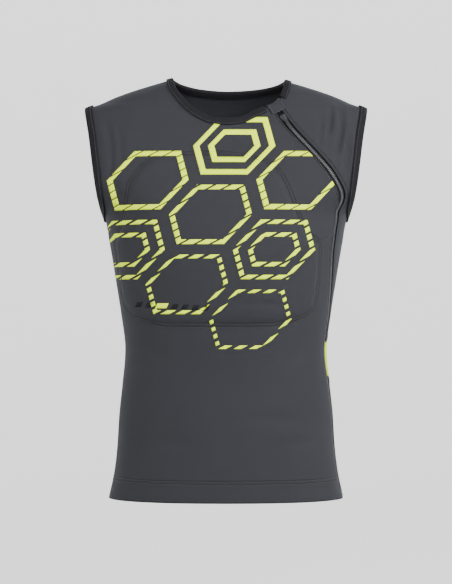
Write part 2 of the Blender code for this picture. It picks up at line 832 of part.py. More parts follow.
def make_slider(matrix):
    """The slider: a plate with two flanges over the coil, and a crown for the pull tab."""
    half_length, half_width_ = SLIDER_LENGTH / 2, SLIDER_WIDTH / 2
    made = box_object(
        "zip_slider",
        (-half_width_, -half_length, SLIDER_FLOOR),
        (half_width_, half_length, SLIDER_TOP),
    )
    VEST.objects.link(made)
    made.matrix_world = matrix
    made.data.materials.append(paint(SLIDER_METAL))
    tunnel_half = CHAIN_WIDTH / 2 + 2 * CLEARANCE
    tunnel = box_object(
        "slider_tunnel",
        (-tunnel_half, -SLIDER_LENGTH, SLIDER_FLOOR - SLIDER_PLATE),
        (tunnel_half, SLIDER_LENGTH, SLIDER_TOP - SLIDER_PLATE),
    )
    crown_half = CROWN_LENGTH / 2
    crown = box_object(
        "slider_crown",
        (-CROWN_WIDTH / 2, -crown_half, SLIDER_TOP - SLIDER_PLATE / 2),
        (CROWN_WIDTH / 2, crown_half, CROWN_UNDER + CROWN_BAR),
    )
    under_half = crown_half - CROWN_BAR
    under = box_object(
        "crown_opening",
        (-CROWN_WIDTH, -under_half, SLIDER_TOP),
        (CROWN_WIDTH, under_half, CROWN_UNDER),
    )
    boolean(made, helper(tunnel, matrix), "DIFFERENCE")
    boolean(made, helper(crown, matrix), "UNION")
    boolean(made, helper(under, matrix), "DIFFERENCE")
    return made


def make_puller(matrix):
    """The pull tab, lying down the zip, whose cross bar passes under the slider's crown."""
    hinge = matrix @ Matrix.Translation((0.0, 0.0, HINGE_HEIGHT))
    half, thick = PULLER_WIDTH / 2, PULLER_THICKNESS / 2
    made = box_object(
        "zip_puller", (-half, -PULLER_LENGTH, -thick), (half, PULLER_BAR / 2, thick)
    )
    VEST.objects.link(made)
    made.matrix_world = hinge
    made.data.materials.append(paint(SLIDER_METAL))
    window_half = CROWN_WIDTH / 2 + CLEARANCE
    window = box_object(
        "puller_window",
        (-window_half, -CROWN_LENGTH / 2 - 2 * CLEARANCE, -PULLER_THICKNESS),
        (window_half, -PULLER_BAR / 2, PULLER_THICKNESS),
    )
    boolean(made, helper(window, hinge), "DIFFERENCE")
    return made


def make_end_box(length):
    """The box that holds the zip's lower end together at the hem."""
    matrix = frame_matrix(length - END_BOX_LENGTH / 2 - CLEARANCE)
    half = ZIP_OPENING / 2 - 2 * CLEARANCE
    made = box_object(
        "zip_end_box",
        (-half, -END_BOX_LENGTH / 2, SLIDER_FLOOR),
        (half, END_BOX_LENGTH / 2, CHAIN_TOP + CLEARANCE),
    )
    VEST.objects.link(made)
    made.matrix_world = matrix
    made.data.materials.append(paint(SLIDER_METAL))
    edges = made.modifiers.new("rounded edges", "BEVEL")
    edges.width = CHAIN_HEIGHT / 4
    edges.segments = 1
    return made


def collar_point(x):
    """A point on the collar's front edge."""
    level = top_level(x, 1)
    return body_point(level, turn_across(level, x, 1))


def make_garage():
    """The soft tab folded over the collar's edge, above the zip's slider."""
    middle = zip_frames((0.0,))[0][0]
    down = -np.array(frame_matrix(0.002).col[1][:3])
    xs = np.linspace(0.5 * middle[0], NECK_LEFT - CLEARANCE, FINE)
    collar = np.array([collar_point(x) for x in xs])
    along = arc_lengths(collar)
    centre = np.interp(middle[0], xs, along)
    half = GARAGE_WIDTH / 2
    places = np.linspace(centre - half, centre + half, 7)
    tops = [np.array([np.interp(p, along, collar[:, k]) for k in range(3)]) for p in places]
    front = GARAGE_CLEARANCE + GARAGE_WALL
    behind = -(FABRIC + TAPE_CLEARANCE + TAPE_THICKNESS + front)
    over = GARAGE_OVER
    profile = [
        (GARAGE_REACH, front),
        (GARAGE_REACH * 0.5, front),
        (0.0, front),
        (-over * 0.75, front * 0.4),
        (-over, (front + behind) / 2),
        (-over * 0.75, behind * 0.9),
        (0.0, behind),
        (GARAGE_REACH * 0.5, behind),
        (GARAGE_REACH, behind),
    ]
    rows = [[on_surface(top + down * s, n) for top in tops] for s, n in profile]
    return sheet("zip_garage", np.array(rows), GREY_FABRIC, GARAGE_WALL)


def make_protector():
    """The foam chest protector behind the front panel, thinner at its rim."""
    levels = np.concatenate(
        [
            [PROTECTOR[-1].level],
            np.linspace(PROTECTOR[-3].level, PROTECTOR[2].level, 13),
            [PROTECTOR[0].level],
        ]
    )
    depth_in = FABRIC + PROTECTOR_CLEARANCE
    rows = []
    for level in levels:
        right = smooth_through(PROTECTOR, "right", level) * half_width(level)
        left = smooth_through(PROTECTOR, "left", level) * half_width(level)
        turn = turn_across(level, np.linspace(right, left, 15), 1)
        rows.append(body_point(level, turn) - outward(np.full(15, level), turn) * depth_in)
    points = np.array(rows)
    made = sheet("chest_protector", points, PROTECTOR_FOAM, PROTECTOR_THICKNESS)
    thick = made.vertex_groups.new(name="full thickness")
    count = points.shape[1]
    inner = [
        r * count + c for r in range(1, points.shape[0] - 1) for c in range(1, count - 1)
    ]
    thick.add(inner, 1.0, "REPLACE")
    wall = made.modifiers["fabric thickness"]
    wall.vertex_group = thick.name
    wall.thickness_vertex_group = PROTECTOR_EDGE / PROTECTOR_THICKNESS
    return made


def make_hem(name, panel):
    """The turned-up hem: a second layer of fabric inside a panel's lower edge."""
    rows = []
    for level in (1.0, 1.0 - HEM_DEPTH / LENGTH):
        low, high = panel[0], panel[1]
        share = (-level * LENGTH - low[:, 2]) / (high[:, 2] - low[:, 2])
        outer = low + (high - low) * share[:, None]
        turn = turn_at(np.full(len(outer), level), outer[:, 0], outer[:, 1])
        normal = outward(np.full(len(outer), level), turn)
        rows.append(outer - normal * (FABRIC + CLEARANCE))
    return sheet(name, np.array(rows), GREY_FABRIC)


VEST = bpy.data.collections.new("armour_vest")
HELPERS = bpy.data.collections.new("helpers")


def main():
    clear_scene()
    for group in (VEST, HELPERS):
        bpy.context.scene.collection.children.link(group)

    tip = float(armhole_x(TIP_LEVEL))
    front_zip, side_zip = collar_crossing(ZIP_SIDE_OF_FRONT), collar_crossing(ZIP_SIDE_OF_SIDE)
    shoulder_xs = along_shoulder(-tip, NECK_RIGHT, SHOULDER_CELLS)
    front_xs = shoulder_xs + along_collar(NECK_RIGHT, front_zip, 1, FRONT_COLLAR)
    front = grid(RIGHT_OUTER, ZIP_SIDE_OF_FRONT, FRONT_SHARES, front_xs, 1)
    sheet("front_panel", front, GREY_FABRIC)

    side_cells = len(SIDE_SHARES) - 1 - len(SIDE_COLLAR)
    side_xs = along_collar(side_zip, NECK_LEFT, 1, SIDE_COLLAR)
    side_xs += along_shoulder(NECK_LEFT, tip, side_cells)
    side_rows = LOWER_ROWS - 3

    def seam(ends, gap):
        return lambda share: ends.at_zip + (ends.at_seam - ends.at_zip) * share + gap / LENGTH

    half_gap = SEAM_GAP / 2
    shoulder = grid(
        ZIP_SIDE_OF_SIDE,
        LEFT_OUTER,
        SIDE_SHARES,
        side_xs,
        1,
        side_rows,
        seam(INSERT_TOP, -half_gap),
    )
    sheet("left_shoulder_panel", shoulder, GREY_FABRIC)
    insert_span = seam(INSERT_BOTTOM, -half_gap), seam(INSERT_TOP, half_gap)
    insert = low_grid(ZIP_SIDE_OF_SIDE, LEFT_OUTER, HIP_SHARES, 6, *insert_span)
    sheet("waist_insert", insert, LIME_FABRIC)
    hip_span = (lambda share: 1.0), seam(INSERT_BOTTOM, half_gap)
    hip = low_grid(ZIP_SIDE_OF_SIDE, LEFT_OUTER, HIP_SHARES, 9, *hip_span)
    sheet("left_hip_panel", hip, GREY_FABRIC)

    back_xs = along_shoulder(tip, NECK_LEFT, SHOULDER_CELLS)
    back_xs += along_collar(NECK_LEFT, NECK_RIGHT, -1, BACK_COLLAR)
    back_xs += along_shoulder(NECK_RIGHT, -tip, SHOULDER_CELLS)
    back = grid(BACK_LEFT, BACK_RIGHT, BACK_SHARES, back_xs, -1)
    sheet("back_panel", back, GREY_FABRIC)

    make_armhole_binding(
        "armhole_binding_right",
        armhole_run(front, LOWER_ROWS, 0),
        armhole_run(back, LOWER_ROWS, -1),
    )
    make_armhole_binding(
        "armhole_binding_left",
        armhole_run(shoulder, side_rows, -1),
        armhole_run(back, LOWER_ROWS, 0),
    )

    keep_off = GARAGE_WIDTH / 2 + 3 * SEAM_GAP
    neck = SHOULDER_CELLS
    right_run = cut_back(front[-1, neck:][::-1], zip_frames((0.0,))[0][0], keep_off)
    left_run = cut_back(shoulder[-1, : len(SIDE_COLLAR) + 1], zip_frames((0.0,))[0][0], keep_off)
    collar = joined_edge(right_run, back[-1, neck:-neck][::-1], left_run[::-1])
    swept(
        "neck_binding",
        edge_frames(collar, False),
        binding_outline(),
        BLACK_BINDING,
        follow=True,
    )

    make_protector()
    make_hem("hem_front", front[:, :-1])
    make_hem("hem_side", hip[:, 1:])
    make_hem("hem_back", back)

    length = zip_end()
    chain_start = SLIDER_FROM_COLLAR - SLIDER_LENGTH / 2 + 2 * CLEARANCE
    chain_end = length - END_BOX_LENGTH - 3 * CLEARANCE
    places = np.linspace(chain_start, chain_end, ZIP_STATIONS)
    tape_places = [TAPE_START, *places, length - CLEARANCE]
    make_tape("zip_tape_front", -1, tape_places)
    make_tape("zip_tape_side", 1, tape_places)
    make_chain(places)
    slider_frame = frame_matrix(SLIDER_FROM_COLLAR)
    make_slider(slider_frame)
    make_puller(slider_frame)
    make_end_box(length)
    make_garage()


main()
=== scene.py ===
import math
from collections import namedtuple
from functools import lru_cache

import bmesh
import bpy
import numpy as np
from mathutils import Matrix, Vector
from mathutils.bvhtree import BVHTree
from mathutils.kdtree import KDTree


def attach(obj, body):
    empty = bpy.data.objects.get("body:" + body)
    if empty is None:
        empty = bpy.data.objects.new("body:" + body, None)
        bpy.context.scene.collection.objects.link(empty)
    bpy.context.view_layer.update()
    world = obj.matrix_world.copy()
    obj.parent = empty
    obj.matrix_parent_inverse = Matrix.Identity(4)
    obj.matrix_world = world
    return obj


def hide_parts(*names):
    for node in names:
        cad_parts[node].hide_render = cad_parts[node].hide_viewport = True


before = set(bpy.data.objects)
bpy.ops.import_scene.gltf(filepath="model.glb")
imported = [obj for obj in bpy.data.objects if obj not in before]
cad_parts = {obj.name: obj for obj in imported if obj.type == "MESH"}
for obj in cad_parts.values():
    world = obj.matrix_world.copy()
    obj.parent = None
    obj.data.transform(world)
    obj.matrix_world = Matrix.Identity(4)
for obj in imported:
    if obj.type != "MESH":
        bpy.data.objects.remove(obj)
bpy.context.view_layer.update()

# Front panel.
# One piece of stretch knit for the wearer's front and right side, cut to the collar, the right
# armhole and the curved zip. A chest protector in a stitched pocket behind it pushes it out.
LENGTH = 0.625
SHOULDER_HALF_WIDTH = 0.210
CHEST_DEPTH = 0.118
BACK_DEPTH = 0.105
NECK_HALF_WIDTH = 0.085
NECK_DROP_FRONT = 0.0645
NECK_DROP_BACK = 0.0125
FABRIC = 0.0016
SEAM_GAP = 0.0010
ZIP_OPENING = 0.0105
PROTECTOR_RELIEF = 0.003
PROTECTOR_SHOULDER = 0.040
SECTION_POWER = 2.35

# Levels are shares of LENGTH below the shoulder points, and turns are degrees round the
# body: 0 at the wearer's left side, 90 at the centre front, -90 at the centre back.
Section = namedtuple("Section", "level width front back")
BODY = (
    Section(0.000, 0.386, 0.320, 0.430),
    Section(0.017, 0.557, 0.420, 0.550),
    Section(0.029, 0.671, 0.460, 0.610),
    Section(0.043, 0.786, 0.500, 0.670),
    Section(0.060, 0.900, 0.540, 0.730),
    Section(0.072, 1.000, 0.570, 0.760),
    Section(0.100, 1.100, 0.620, 0.820),
    Section(0.150, 1.160, 0.700, 0.910),
    Section(0.210, 1.155, 0.810, 0.980),
    Section(0.270, 1.060, 0.905, 1.000),
    Section(0.329, 0.867, 0.965, 0.990),
    Section(0.398, 0.826, 1.000, 0.940),
    Section(0.475, 0.788, 0.980, 0.860),
    Section(0.552, 0.752, 0.920, 0.775),
    Section(0.648, 0.719, 0.850, 0.705),
    Section(0.725, 0.738, 0.825, 0.720),
    Section(0.802, 0.762, 0.830, 0.790),
    Section(0.878, 0.776, 0.850, 0.880),
    Section(0.936, 0.796, 0.865, 0.940),
    Section(1.000, 0.836, 0.880, 0.970),
)

# The collar's edge: across in shares of the neck's half width, the drop in shares of its depth
NeckRow = namedtuple("NeckRow", "across drop")
COLLAR_FRONT = (
    NeckRow(-0.953, 0.000),
    NeckRow(-0.910, 0.220),
    NeckRow(-0.776, 0.480),
    NeckRow(-0.646, 0.676),
    NeckRow(-0.487, 0.826),
    NeckRow(-0.273, 0.958),
    NeckRow(0.000, 1.000),
    NeckRow(0.273, 0.958),
    NeckRow(0.444, 0.847),
    NeckRow(0.660, 0.715),
    NeckRow(0.830, 0.630),
    NeckRow(0.925, 0.510),
    NeckRow(1.010, 0.260),
    NeckRow(1.053, 0.000),
)
COLLAR_BACK = (
    NeckRow(-0.953, 0.000),
    NeckRow(-0.780, 0.420),
    NeckRow(-0.420, 0.840),
    NeckRow(0.000, 1.000),
    NeckRow(0.440, 0.840),
    NeckRow(0.860, 0.420),
    NeckRow(1.053, 0.000),
)

EdgeRow = namedtuple("EdgeRow", "level share")
ARMHOLE = (
    EdgeRow(0.060, 1.000),
    EdgeRow(0.139, 0.955),
    EdgeRow(0.206, 0.927),
    EdgeRow(0.283, 0.893),
    EdgeRow(0.329, 0.867),
)
ARMPIT_LEVEL = 0.329
BLEND_LEVEL = 0.430
ZIP_HELD_LEVEL = 0.050
EVEN_TOP_LEVEL = 0.150
LEAST_TURN = 0.001
LEAN_POWER = 1.3

TurnRow = namedtuple("TurnRow", "level turn")
ZIP_PATH = (
    TurnRow(-0.010, 57.0),
    TurnRow(0.000, 60.0),
    TurnRow(0.020, 68.7),
    TurnRow(0.040, 72.0),
    TurnRow(0.060, 72.9),
    TurnRow(0.077, 73.1),
    TurnRow(0.097, 72.3),
    TurnRow(0.130, 69.3),
    TurnRow(0.181, 61.6),
    TurnRow(0.234, 52.3),
    TurnRow(0.278, 41.5),
    TurnRow(0.310, 32.0),
    TurnRow(0.345, 26.5),
    TurnRow(0.400, 26.0),
    TurnRow(0.460, 22.5),
    TurnRow(0.520, 17.5),
    TurnRow(0.580, 14.0),
    TurnRow(0.650, 15.5),
    TurnRow(0.720, 11.5),
    TurnRow(0.780, 9.5),
    TurnRow(0.845, 11.0),
    TurnRow(0.920, 8.0),
    TurnRow(1.030, 5.0),
)
SIDE_SEAM = (
    TurnRow(0.200, 0.0),
    TurnRow(0.420, 0.0),
    TurnRow(0.500, -5.0),
    TurnRow(0.600, -17.0),
    TurnRow(0.700, -25.0),
    TurnRow(0.800, -28.0),
    TurnRow(1.030, -28.0),
)

# Outline of the protector, as shares of the body's half width at each level
OutlineRow = namedtuple("OutlineRow", "level right left")
PROTECTOR = (
    OutlineRow(0.188, -0.375, -0.020),
    OutlineRow(0.195, -0.440, 0.110),
    OutlineRow(0.204, -0.470, 0.215),
    OutlineRow(0.216, -0.500, 0.283),
    OutlineRow(0.234, -0.553, 0.327),
    OutlineRow(0.255, -0.605, 0.370),
    OutlineRow(0.288, -0.676, 0.445),
    OutlineRow(0.322, -0.790, 0.550),
    OutlineRow(0.356, -0.852, 0.625),
    OutlineRow(0.378, -0.905, 0.690),
    OutlineRow(0.396, -0.934, 0.774),
    OutlineRow(0.433, -0.937, 0.790),
    OutlineRow(0.480, -0.940, 0.806),
    OutlineRow(0.520, -0.945, 0.809),
    OutlineRow(0.544, -0.915, 0.793),
    OutlineRow(0.560, -0.849, 0.733),
    OutlineRow(0.572, -0.759, 0.615),
    OutlineRow(0.582, -0.580, 0.430),
)

FINE = 900
SHOULDER_CELLS = 7
NARROW_CELL = 0.010
FRONT_SHARES = (
    *(0.000, 0.024, 0.065, 0.115, 0.170, 0.230, 0.300),
    *(0.375, 0.450, 0.525, 0.600, 0.670, 0.735, 0.795, 0.850, 0.900, 0.945, 0.976, 1.000),
)
FRONT_COLLAR = (0.07, 0.14, 0.22, 0.31, 0.40, 0.50, 0.61, 0.72, 0.84, 0.945, 1.00)


@lru_cache(maxsize=None)
def knots(rows, column):
    """Places (the first column), values and slopes for a curve with no overshoot."""
    at = np.array([row[0] for row in rows])
    value = np.array([getattr(row, column) for row in rows])
    step = np.diff(at)
    slope = np.diff(value) / step
    tangent = np.concatenate([slope[:1], np.zeros(len(at) - 2), slope[-1:]])
    for i in range(1, len(at) - 1):
        if slope[i - 1] * slope[i] > 0:
            before = 2 * step[i] + step[i - 1]
            after = step[i] + 2 * step[i - 1]
            tangent[i] = (before + after) / (before / slope[i - 1] + after / slope[i])
    return at, value, step, tangent


def smooth_through(rows, column, level):
    """The value of a named column at a level."""
    at, value, step, tangent = knots(rows, column)
    asked = np.asarray(level, float)
    level = np.clip(asked, at[0], at[-1])
    i = np.clip(np.searchsorted(at, level) - 1, 0, len(at) - 2)
    t = (level - at[i]) / step[i]
    beyond = (asked - level) * np.where(asked < level, tangent[0], tangent[-1])
    return (
        beyond
        + value[i] * (2 * t**3 - 3 * t**2 + 1)
        + value[i + 1] * (3 * t**2 - 2 * t**3)
        + step[i] * (tangent[i] * (t**3 - 2 * t**2 + t) + tangent[i + 1] * (t**3 - t**2))
    )


def half_width(level):
    return SHOULDER_HALF_WIDTH * smooth_through(BODY, "width", level)


def ease(t):
    """0 to 1 with flat ends."""
    t = np.clip(t, 0.0, 1.0)
    return t * t * (3 - 2 * t)


def protector_relief(level, turn):
    """How far the protector pushes the fabric out, full inside its outline and easing to 0."""
    across = np.cos(np.radians(turn))
    x = half_width(level) * np.sign(across) * np.abs(across) ** (2 / SECTION_POWER)
    inside = np.clip(level, PROTECTOR[0].level, PROTECTOR[-1].level)
    wide = half_width(inside)
    from_right = x - wide * smooth_through(PROTECTOR, "right", inside)
    from_left = wide * smooth_through(PROTECTOR, "left", inside) - x
    from_top = (level - PROTECTOR[0].level) * LENGTH
    from_bottom = (PROTECTOR[-1].level - level) * LENGTH
    share = np.ones(level.shape)
    for distance in (from_right, from_left, from_top, from_bottom):
        share = share * ease(distance / PROTECTOR_SHOULDER + 0.35)
    return np.where(np.sin(np.radians(turn)) > 0, PROTECTOR_RELIEF * share, 0.0)


def body_point(level, turn):
    """Points on the uncut outer surface, whose front and back part a little above the seams."""
    level, turn = np.broadcast_arrays(np.asarray(level, float), np.asarray(turn, float))
    across, along = np.cos(np.radians(turn)), np.sin(np.radians(turn))
    power = 2 / SECTION_POWER
    front = CHEST_DEPTH * smooth_through(BODY, "front", level)
    back = BACK_DEPTH * smooth_through(BODY, "back", level)
    relief = protector_relief(level, turn)
    x = (half_width(level) + relief) * np.sign(across) * np.abs(across) ** power
    y = -(np.where(along >= 0, front, back) + relief) * np.sign(along) * np.abs(along) ** power
    parted = ease((BLEND_LEVEL - level) / (BLEND_LEVEL - ARMPIT_LEVEL))
    y = y - np.sign(along) * parted * SEAM_GAP / 2
    return np.stack([x, y, -level * LENGTH], axis=-1)


def turn_at(level, x, y):
    """The turn of a point on or near the body."""
    turn_side = np.where(np.asarray(y) <= 0, 1.0, -1.0)
    deep = np.where(
        turn_side > 0,
        CHEST_DEPTH * smooth_through(BODY, "front", level),
        BACK_DEPTH * smooth_through(BODY, "back", level),
    )
    power = SECTION_POWER / 2
    along = (np.abs(y) / deep) ** power
    across = np.sign(x) * (np.abs(x) / half_width(level)) ** power
    return turn_side * np.degrees(np.arctan2(along, across))


def turn_across(level, x, side):
    """The turn on the front (side 1) or back (side -1) where the body is x off centre."""
    share = np.clip(np.abs(x) / half_width(level), 0.0, 1.0) ** (SECTION_POWER / 2)
    turn = np.degrees(np.arccos(np.sign(x) * share))
    return side * np.clip(turn, LEAST_TURN, 180 - LEAST_TURN)


def outward(level, turn):
    """Unit normals of the outer surface."""
    small_level, small_turn = 1e-4, 0.05
    up = body_point(level - small_level, turn) - body_point(level + small_level, turn)
    round_it = body_point(level, turn - small_turn) - body_point(level, turn + small_turn)
    normal = np.cross(round_it, up)
    return normal / np.linalg.norm(normal, axis=-1, keepdims=True)


def on_body(points, lift=0.0):
    """Points brought on to the body at their own height, and lifted off it."""
    points = np.asarray(points, float)
    level = -points[..., 2] / LENGTH
    turn = turn_at(level, points[..., 0], points[..., 1])
    return body_point(level, turn) + outward(level, turn) * lift


def root(function, low, high):
    """Where a function changes sign between low and high."""
    sign_low = function(low) > 0
    for _ in range(48):
        middle = (low + high) / 2
        if (function(middle) > 0) == sign_low:
            low = middle
        else:
            high = middle
    return (low + high) / 2


def armhole_x(level):
    """Distance from the centre to the armhole's edge."""
    return SHOULDER_HALF_WIDTH * smooth_through(ARMHOLE, "share", level)


TIP_LEVEL = root(lambda v: half_width(v) - armhole_x(v), 0.040, 0.090)
NECK_RIGHT = NECK_HALF_WIDTH * COLLAR_FRONT[0].across
NECK_LEFT = NECK_HALF_WIDTH * COLLAR_FRONT[-1].across


@lru_cache(maxsize=None)
def shoulder_level(x):
    """The level of the shoulder line, x off centre."""
    return root(lambda v: half_width(v) - abs(x), -0.02, TIP_LEVEL + 0.01)


def top_level(x, side):
    """The level where the fabric ends at the top: the collar's edge, or the shoulder line."""
    if not NECK_RIGHT < x < NECK_LEFT:
        return shoulder_level(x)
    front = side > 0
    rows, drop = (COLLAR_FRONT, NECK_DROP_FRONT) if front else (COLLAR_BACK, NECK_DROP_BACK)
    ends = (shoulder_level(NECK_RIGHT), shoulder_level(NECK_LEFT))
    drop *= float(smooth_through(rows, "drop", x / NECK_HALF_WIDTH))
    return float(np.interp(x, (NECK_RIGHT, NECK_LEFT), ends)) + drop / LENGTH


def arc_lengths(points):
    """Distance along a polyline, from 0 at its first point."""
    steps = np.linalg.norm(np.diff(points, axis=0), axis=1)
    return np.concatenate([[0.0], np.cumsum(steps)])


def at_shares(points, places):
    """Points at given shares of a polyline's length."""
    along = arc_lengths(points)
    return np.stack([np.interp(places * along[-1], along, points[:, k]) for k in range(3)], axis=1)


Line = namedtuple("Line", "points normal across")


def surface_line(path):
    """A line on the body, with its outward normals and its directions towards the left."""
    level = np.linspace(path[0].level, path[-1].level, FINE)
    turn = smooth_through(path, "turn", level)
    points = body_point(level, turn)
    along = np.gradient(points, axis=0)
    normal = outward(level, turn)
    across = np.cross(along, normal)
    across /= np.linalg.norm(across, axis=1, keepdims=True)
    left = body_point(level, turn - 1.0) - points
    across *= np.sign(np.sum(across * left, axis=1, keepdims=True))
    return Line(points, normal, across)


def beside(line, offset):
    """The line that runs beside another, as a function from level to turn."""
    moved = line.points + line.across * offset
    level = -moved[:, 2] / LENGTH
    turn = turn_at(level, moved[:, 0], moved[:, 1])
    order = np.argsort(level)
    return lambda v: np.interp(v, level[order], turn[order])


ZIP = surface_line(ZIP_PATH)
SEAM = surface_line(SIDE_SEAM)
Edge = namedtuple("Edge", "turn x")


def zip_edge(offset):
    """An edge of the zip's opening, held above the collar."""
    turn = beside(ZIP, offset)

    def x(level):
        held = np.maximum(level, ZIP_HELD_LEVEL)
        return body_point(held, turn(held))[..., 0]

    return Edge(turn, x)


def side_edge(offset, side):
    """A panel's outer edge: the side seam, and the armhole above it."""
    seam = beside(SEAM, offset)

    def turn(level):
        level = np.asarray(level, float)
        above = turn_across(level, armhole_x(level), side)
        return np.where(level < ARMPIT_LEVEL, above, seam(level))

    return Edge(turn, armhole_x)


def mirrored(edge, half_turn):
    """The same edge on the wearer's right."""
    return Edge(lambda v: half_turn - edge.turn(v), lambda v: -edge.x(v))


ZIP_SIDE_OF_FRONT = zip_edge(-ZIP_OPENING / 2)
ZIP_SIDE_OF_SIDE = zip_edge(ZIP_OPENING / 2)
LEFT_OUTER = side_edge(-SEAM_GAP / 2, 1)
RIGHT_OUTER = mirrored(LEFT_OUTER, 180)
BACK_LEFT = side_edge(SEAM_GAP / 2, -1)
BACK_RIGHT = mirrored(BACK_LEFT, -180)


def turn_between(start, end, share, lean, level, side):
    """The turn at a share of the way between two edges: by angle low down, by x at the top."""
    low = (1 - share) * start.turn(level) + share * end.turn(level)
    blend = ease((ARMPIT_LEVEL - level) / (ARMPIT_LEVEL - EVEN_TOP_LEVEL))
    high_x = (1 - share) * start.x(level) + share * end.x(level) + lean
    high = turn_across(level, high_x, side)
    return (1 - blend) * low + blend * high


Rows = namedtuple("Rows", "low high")


def column(start, end, share, top_x, side, bottom, rows):
    """One column of fabric points, from its bottom row to the collar or the shoulder line."""
    highest = top_level(top_x, side)
    miss = top_x - float((1 - share) * start.x(highest) + share * end.x(highest))
    fine = highest + (ARMPIT_LEVEL - highest) * np.linspace(1.0, 0.0, FINE) ** 2
    rise = np.clip((ARMPIT_LEVEL - fine) / (ARMPIT_LEVEL - highest), 0.0, 1.0)
    for _ in range(2):
        lean = miss * rise**LEAN_POWER
        high = body_point(fine, turn_between(start, end, share, lean, fine, side))
        rise = arc_lengths(high) / arc_lengths(high)[-1]
    fixed = np.linspace(bottom, ARMPIT_LEVEL, rows.low)
    low = body_point(fixed, turn_between(start, end, share, 0.0, fixed, side))
    return np.concatenate([low, at_shares(high, np.linspace(0, 1, rows.high))[1:]])


def finer(values, cells):
    """A table's values with each of its steps divided evenly."""
    values = np.asarray(values, float)
    places = np.arange((len(values) - 1) * cells + 1) / cells
    return np.interp(places, np.arange(len(values)), values)


def cloth(start, end, shares, top_xs, side, rows, cells, bottom=lambda share: 1.0):
    """A panel's outer surface: rows upwards, columns from its start edge to its end edge."""
    return np.stack(
        [
            column(start, end, share, float(x), side, bottom(share), rows)
            for share, x in zip(finer(shares, cells), finer(top_xs, cells))
        ],
        axis=1,
    )


def along_collar(first_x, last_x, side, stops):
    """Distances across the body at shares of the collar's length between two of its points."""
    xs = np.linspace(first_x, last_x, FINE)
    level = np.array([top_level(x, side) for x in xs])
    along = arc_lengths(body_point(level, turn_across(level, xs, side)))
    return list(np.interp(np.array(stops) * along[-1], along, xs))


def along_shoulder(first_x, last_x, cells):
    """Distances across the body along the shoulder line, with a narrow cell at each end."""
    step = math.copysign(NARROW_CELL, last_x - first_x)
    return [first_x, *np.linspace(first_x + step, last_x - step, cells - 1), last_x]


def collar_crossing(edge):
    """x where an edge of the zip's opening meets the collar."""
    level = root(lambda v: v - top_level(float(edge.x(v)), 1), ZIP_HELD_LEVEL, 0.12)
    return float(edge.x(level))


def grid_normals(points):
    """Unit normals of a grid, out of the body."""
    up, across = np.gradient(points, axis=0), np.gradient(points, axis=1)
    normal = np.cross(across, up)
    return normal / np.linalg.norm(normal, axis=-1, keepdims=True)


# The soft creases that the worn cloth shows, each a line across the front seen from ahead
Crease = namedtuple("Crease", "x0 z0 x1 z1 width depth")
CREASES = (
    Crease(0.170, -0.046, 0.160, -0.120, 0.0050, 0.0036),
    Crease(0.154, -0.044, 0.148, -0.090, 0.0042, 0.0026),
    Crease(0.179, -0.075, 0.171, -0.150, 0.0050, 0.0021),
    Crease(0.138, -0.060, 0.134, -0.110, 0.0045, 0.0013),
    Crease(-0.178, -0.060, -0.170, -0.165, 0.0060, 0.0018),
    Crease(-0.160, -0.070, -0.158, -0.150, 0.0060, 0.0012),
    Crease(-0.168, -0.150, -0.150, -0.215, 0.0070, 0.0010),
    Crease(0.010, -0.338, 0.100, -0.342, 0.0050, 0.0009),
    Crease(0.020, -0.505, 0.120, -0.512, 0.0120, 0.0011),
    Crease(-0.120, -0.540, -0.030, -0.548, 0.0120, 0.0009),
    Crease(0.060, -0.545, 0.145, -0.540, 0.0100, 0.0009),
    Crease(-0.145, -0.395, -0.080, -0.420, 0.0120, 0.0010),
    Crease(0.138, -0.385, 0.090, -0.420, 0.0110, 0.0010),
    Crease(-0.150, -0.430, -0.095, -0.425, 0.0110, 0.0007),
)


def crease_relief(points):
    """How far the creases push a surface in (below 0) or out beside them."""
    relief = np.zeros(points.shape[:-1])
    flat = points[..., (0, 2)]
    for crease in CREASES:
        start = np.array([crease.x0, crease.z0])
        along = np.array([crease.x1, crease.z1]) - start
        share = np.clip(((flat - start) @ along) / (along @ along), 0, 1)
        bow = 0.06 * np.sin(share * math.pi) * np.array([-along[1], along[0]])[:, None, None]
        off = flat - start - share[..., None] * along - np.moveaxis(bow, 0, -1)
        away = np.linalg.norm(off, axis=-1) / crease.width
        strength = np.sin(np.clip(share, 0.02, 0.98) * math.pi) ** 0.7
        wave = (1 - 0.9 * away**2) * np.exp(-(away**2) / 1.8)
        relief -= crease.depth * strength * wave
    return relief


def worn(points, keep_edges=0.014):
    """A panel's grid with its creases pressed in, left alone along its edges."""
    rows = arc_lengths(points[:, points.shape[1] // 2])
    columns = arc_lengths(points[points.shape[0] // 2])
    from_row = np.minimum(rows, rows[-1] - rows)[:, None]
    from_column = np.minimum(columns, columns[-1] - columns)[None, :]
    free = ease(np.minimum(from_row, from_column) / keep_edges)
    return points + grid_normals(points) * (crease_relief(points) * free)[..., None]


SignedLine = namedtuple("SignedLine", "points across")


def signed_distance(points, line):
    """Distance of each grid point from a line, above 0 on the side that its arrows point to."""
    tree = KDTree(len(line.points))
    for i, point in enumerate(line.points):
        tree.insert(point, i)
    tree.balance()
    flat = points.reshape(-1, 3)
    found = [tree.find(point) for point in flat]
    away = np.array([hit[2] for hit in found])
    nearest = np.array([hit[1] for hit in found])
    side = np.sum((flat - line.points[nearest]) * line.across[nearest], axis=1)
    return (away * np.where(side < 0, -1, 1)).reshape(points.shape[:-1])


def surface_path(points):
    """A closed line on the body, with arrows that point away from its middle."""
    along = np.roll(points, -1, axis=0) - np.roll(points, 1, axis=0)
    level = -points[:, 2] / LENGTH
    normal = outward(level, turn_at(level, points[:, 0], points[:, 1]))
    across = np.cross(normal, along)
    across /= np.linalg.norm(across, axis=1, keepdims=True)
    across *= np.sign(np.sum(across * (points - points.mean(axis=0))))
    return SignedLine(points, across)


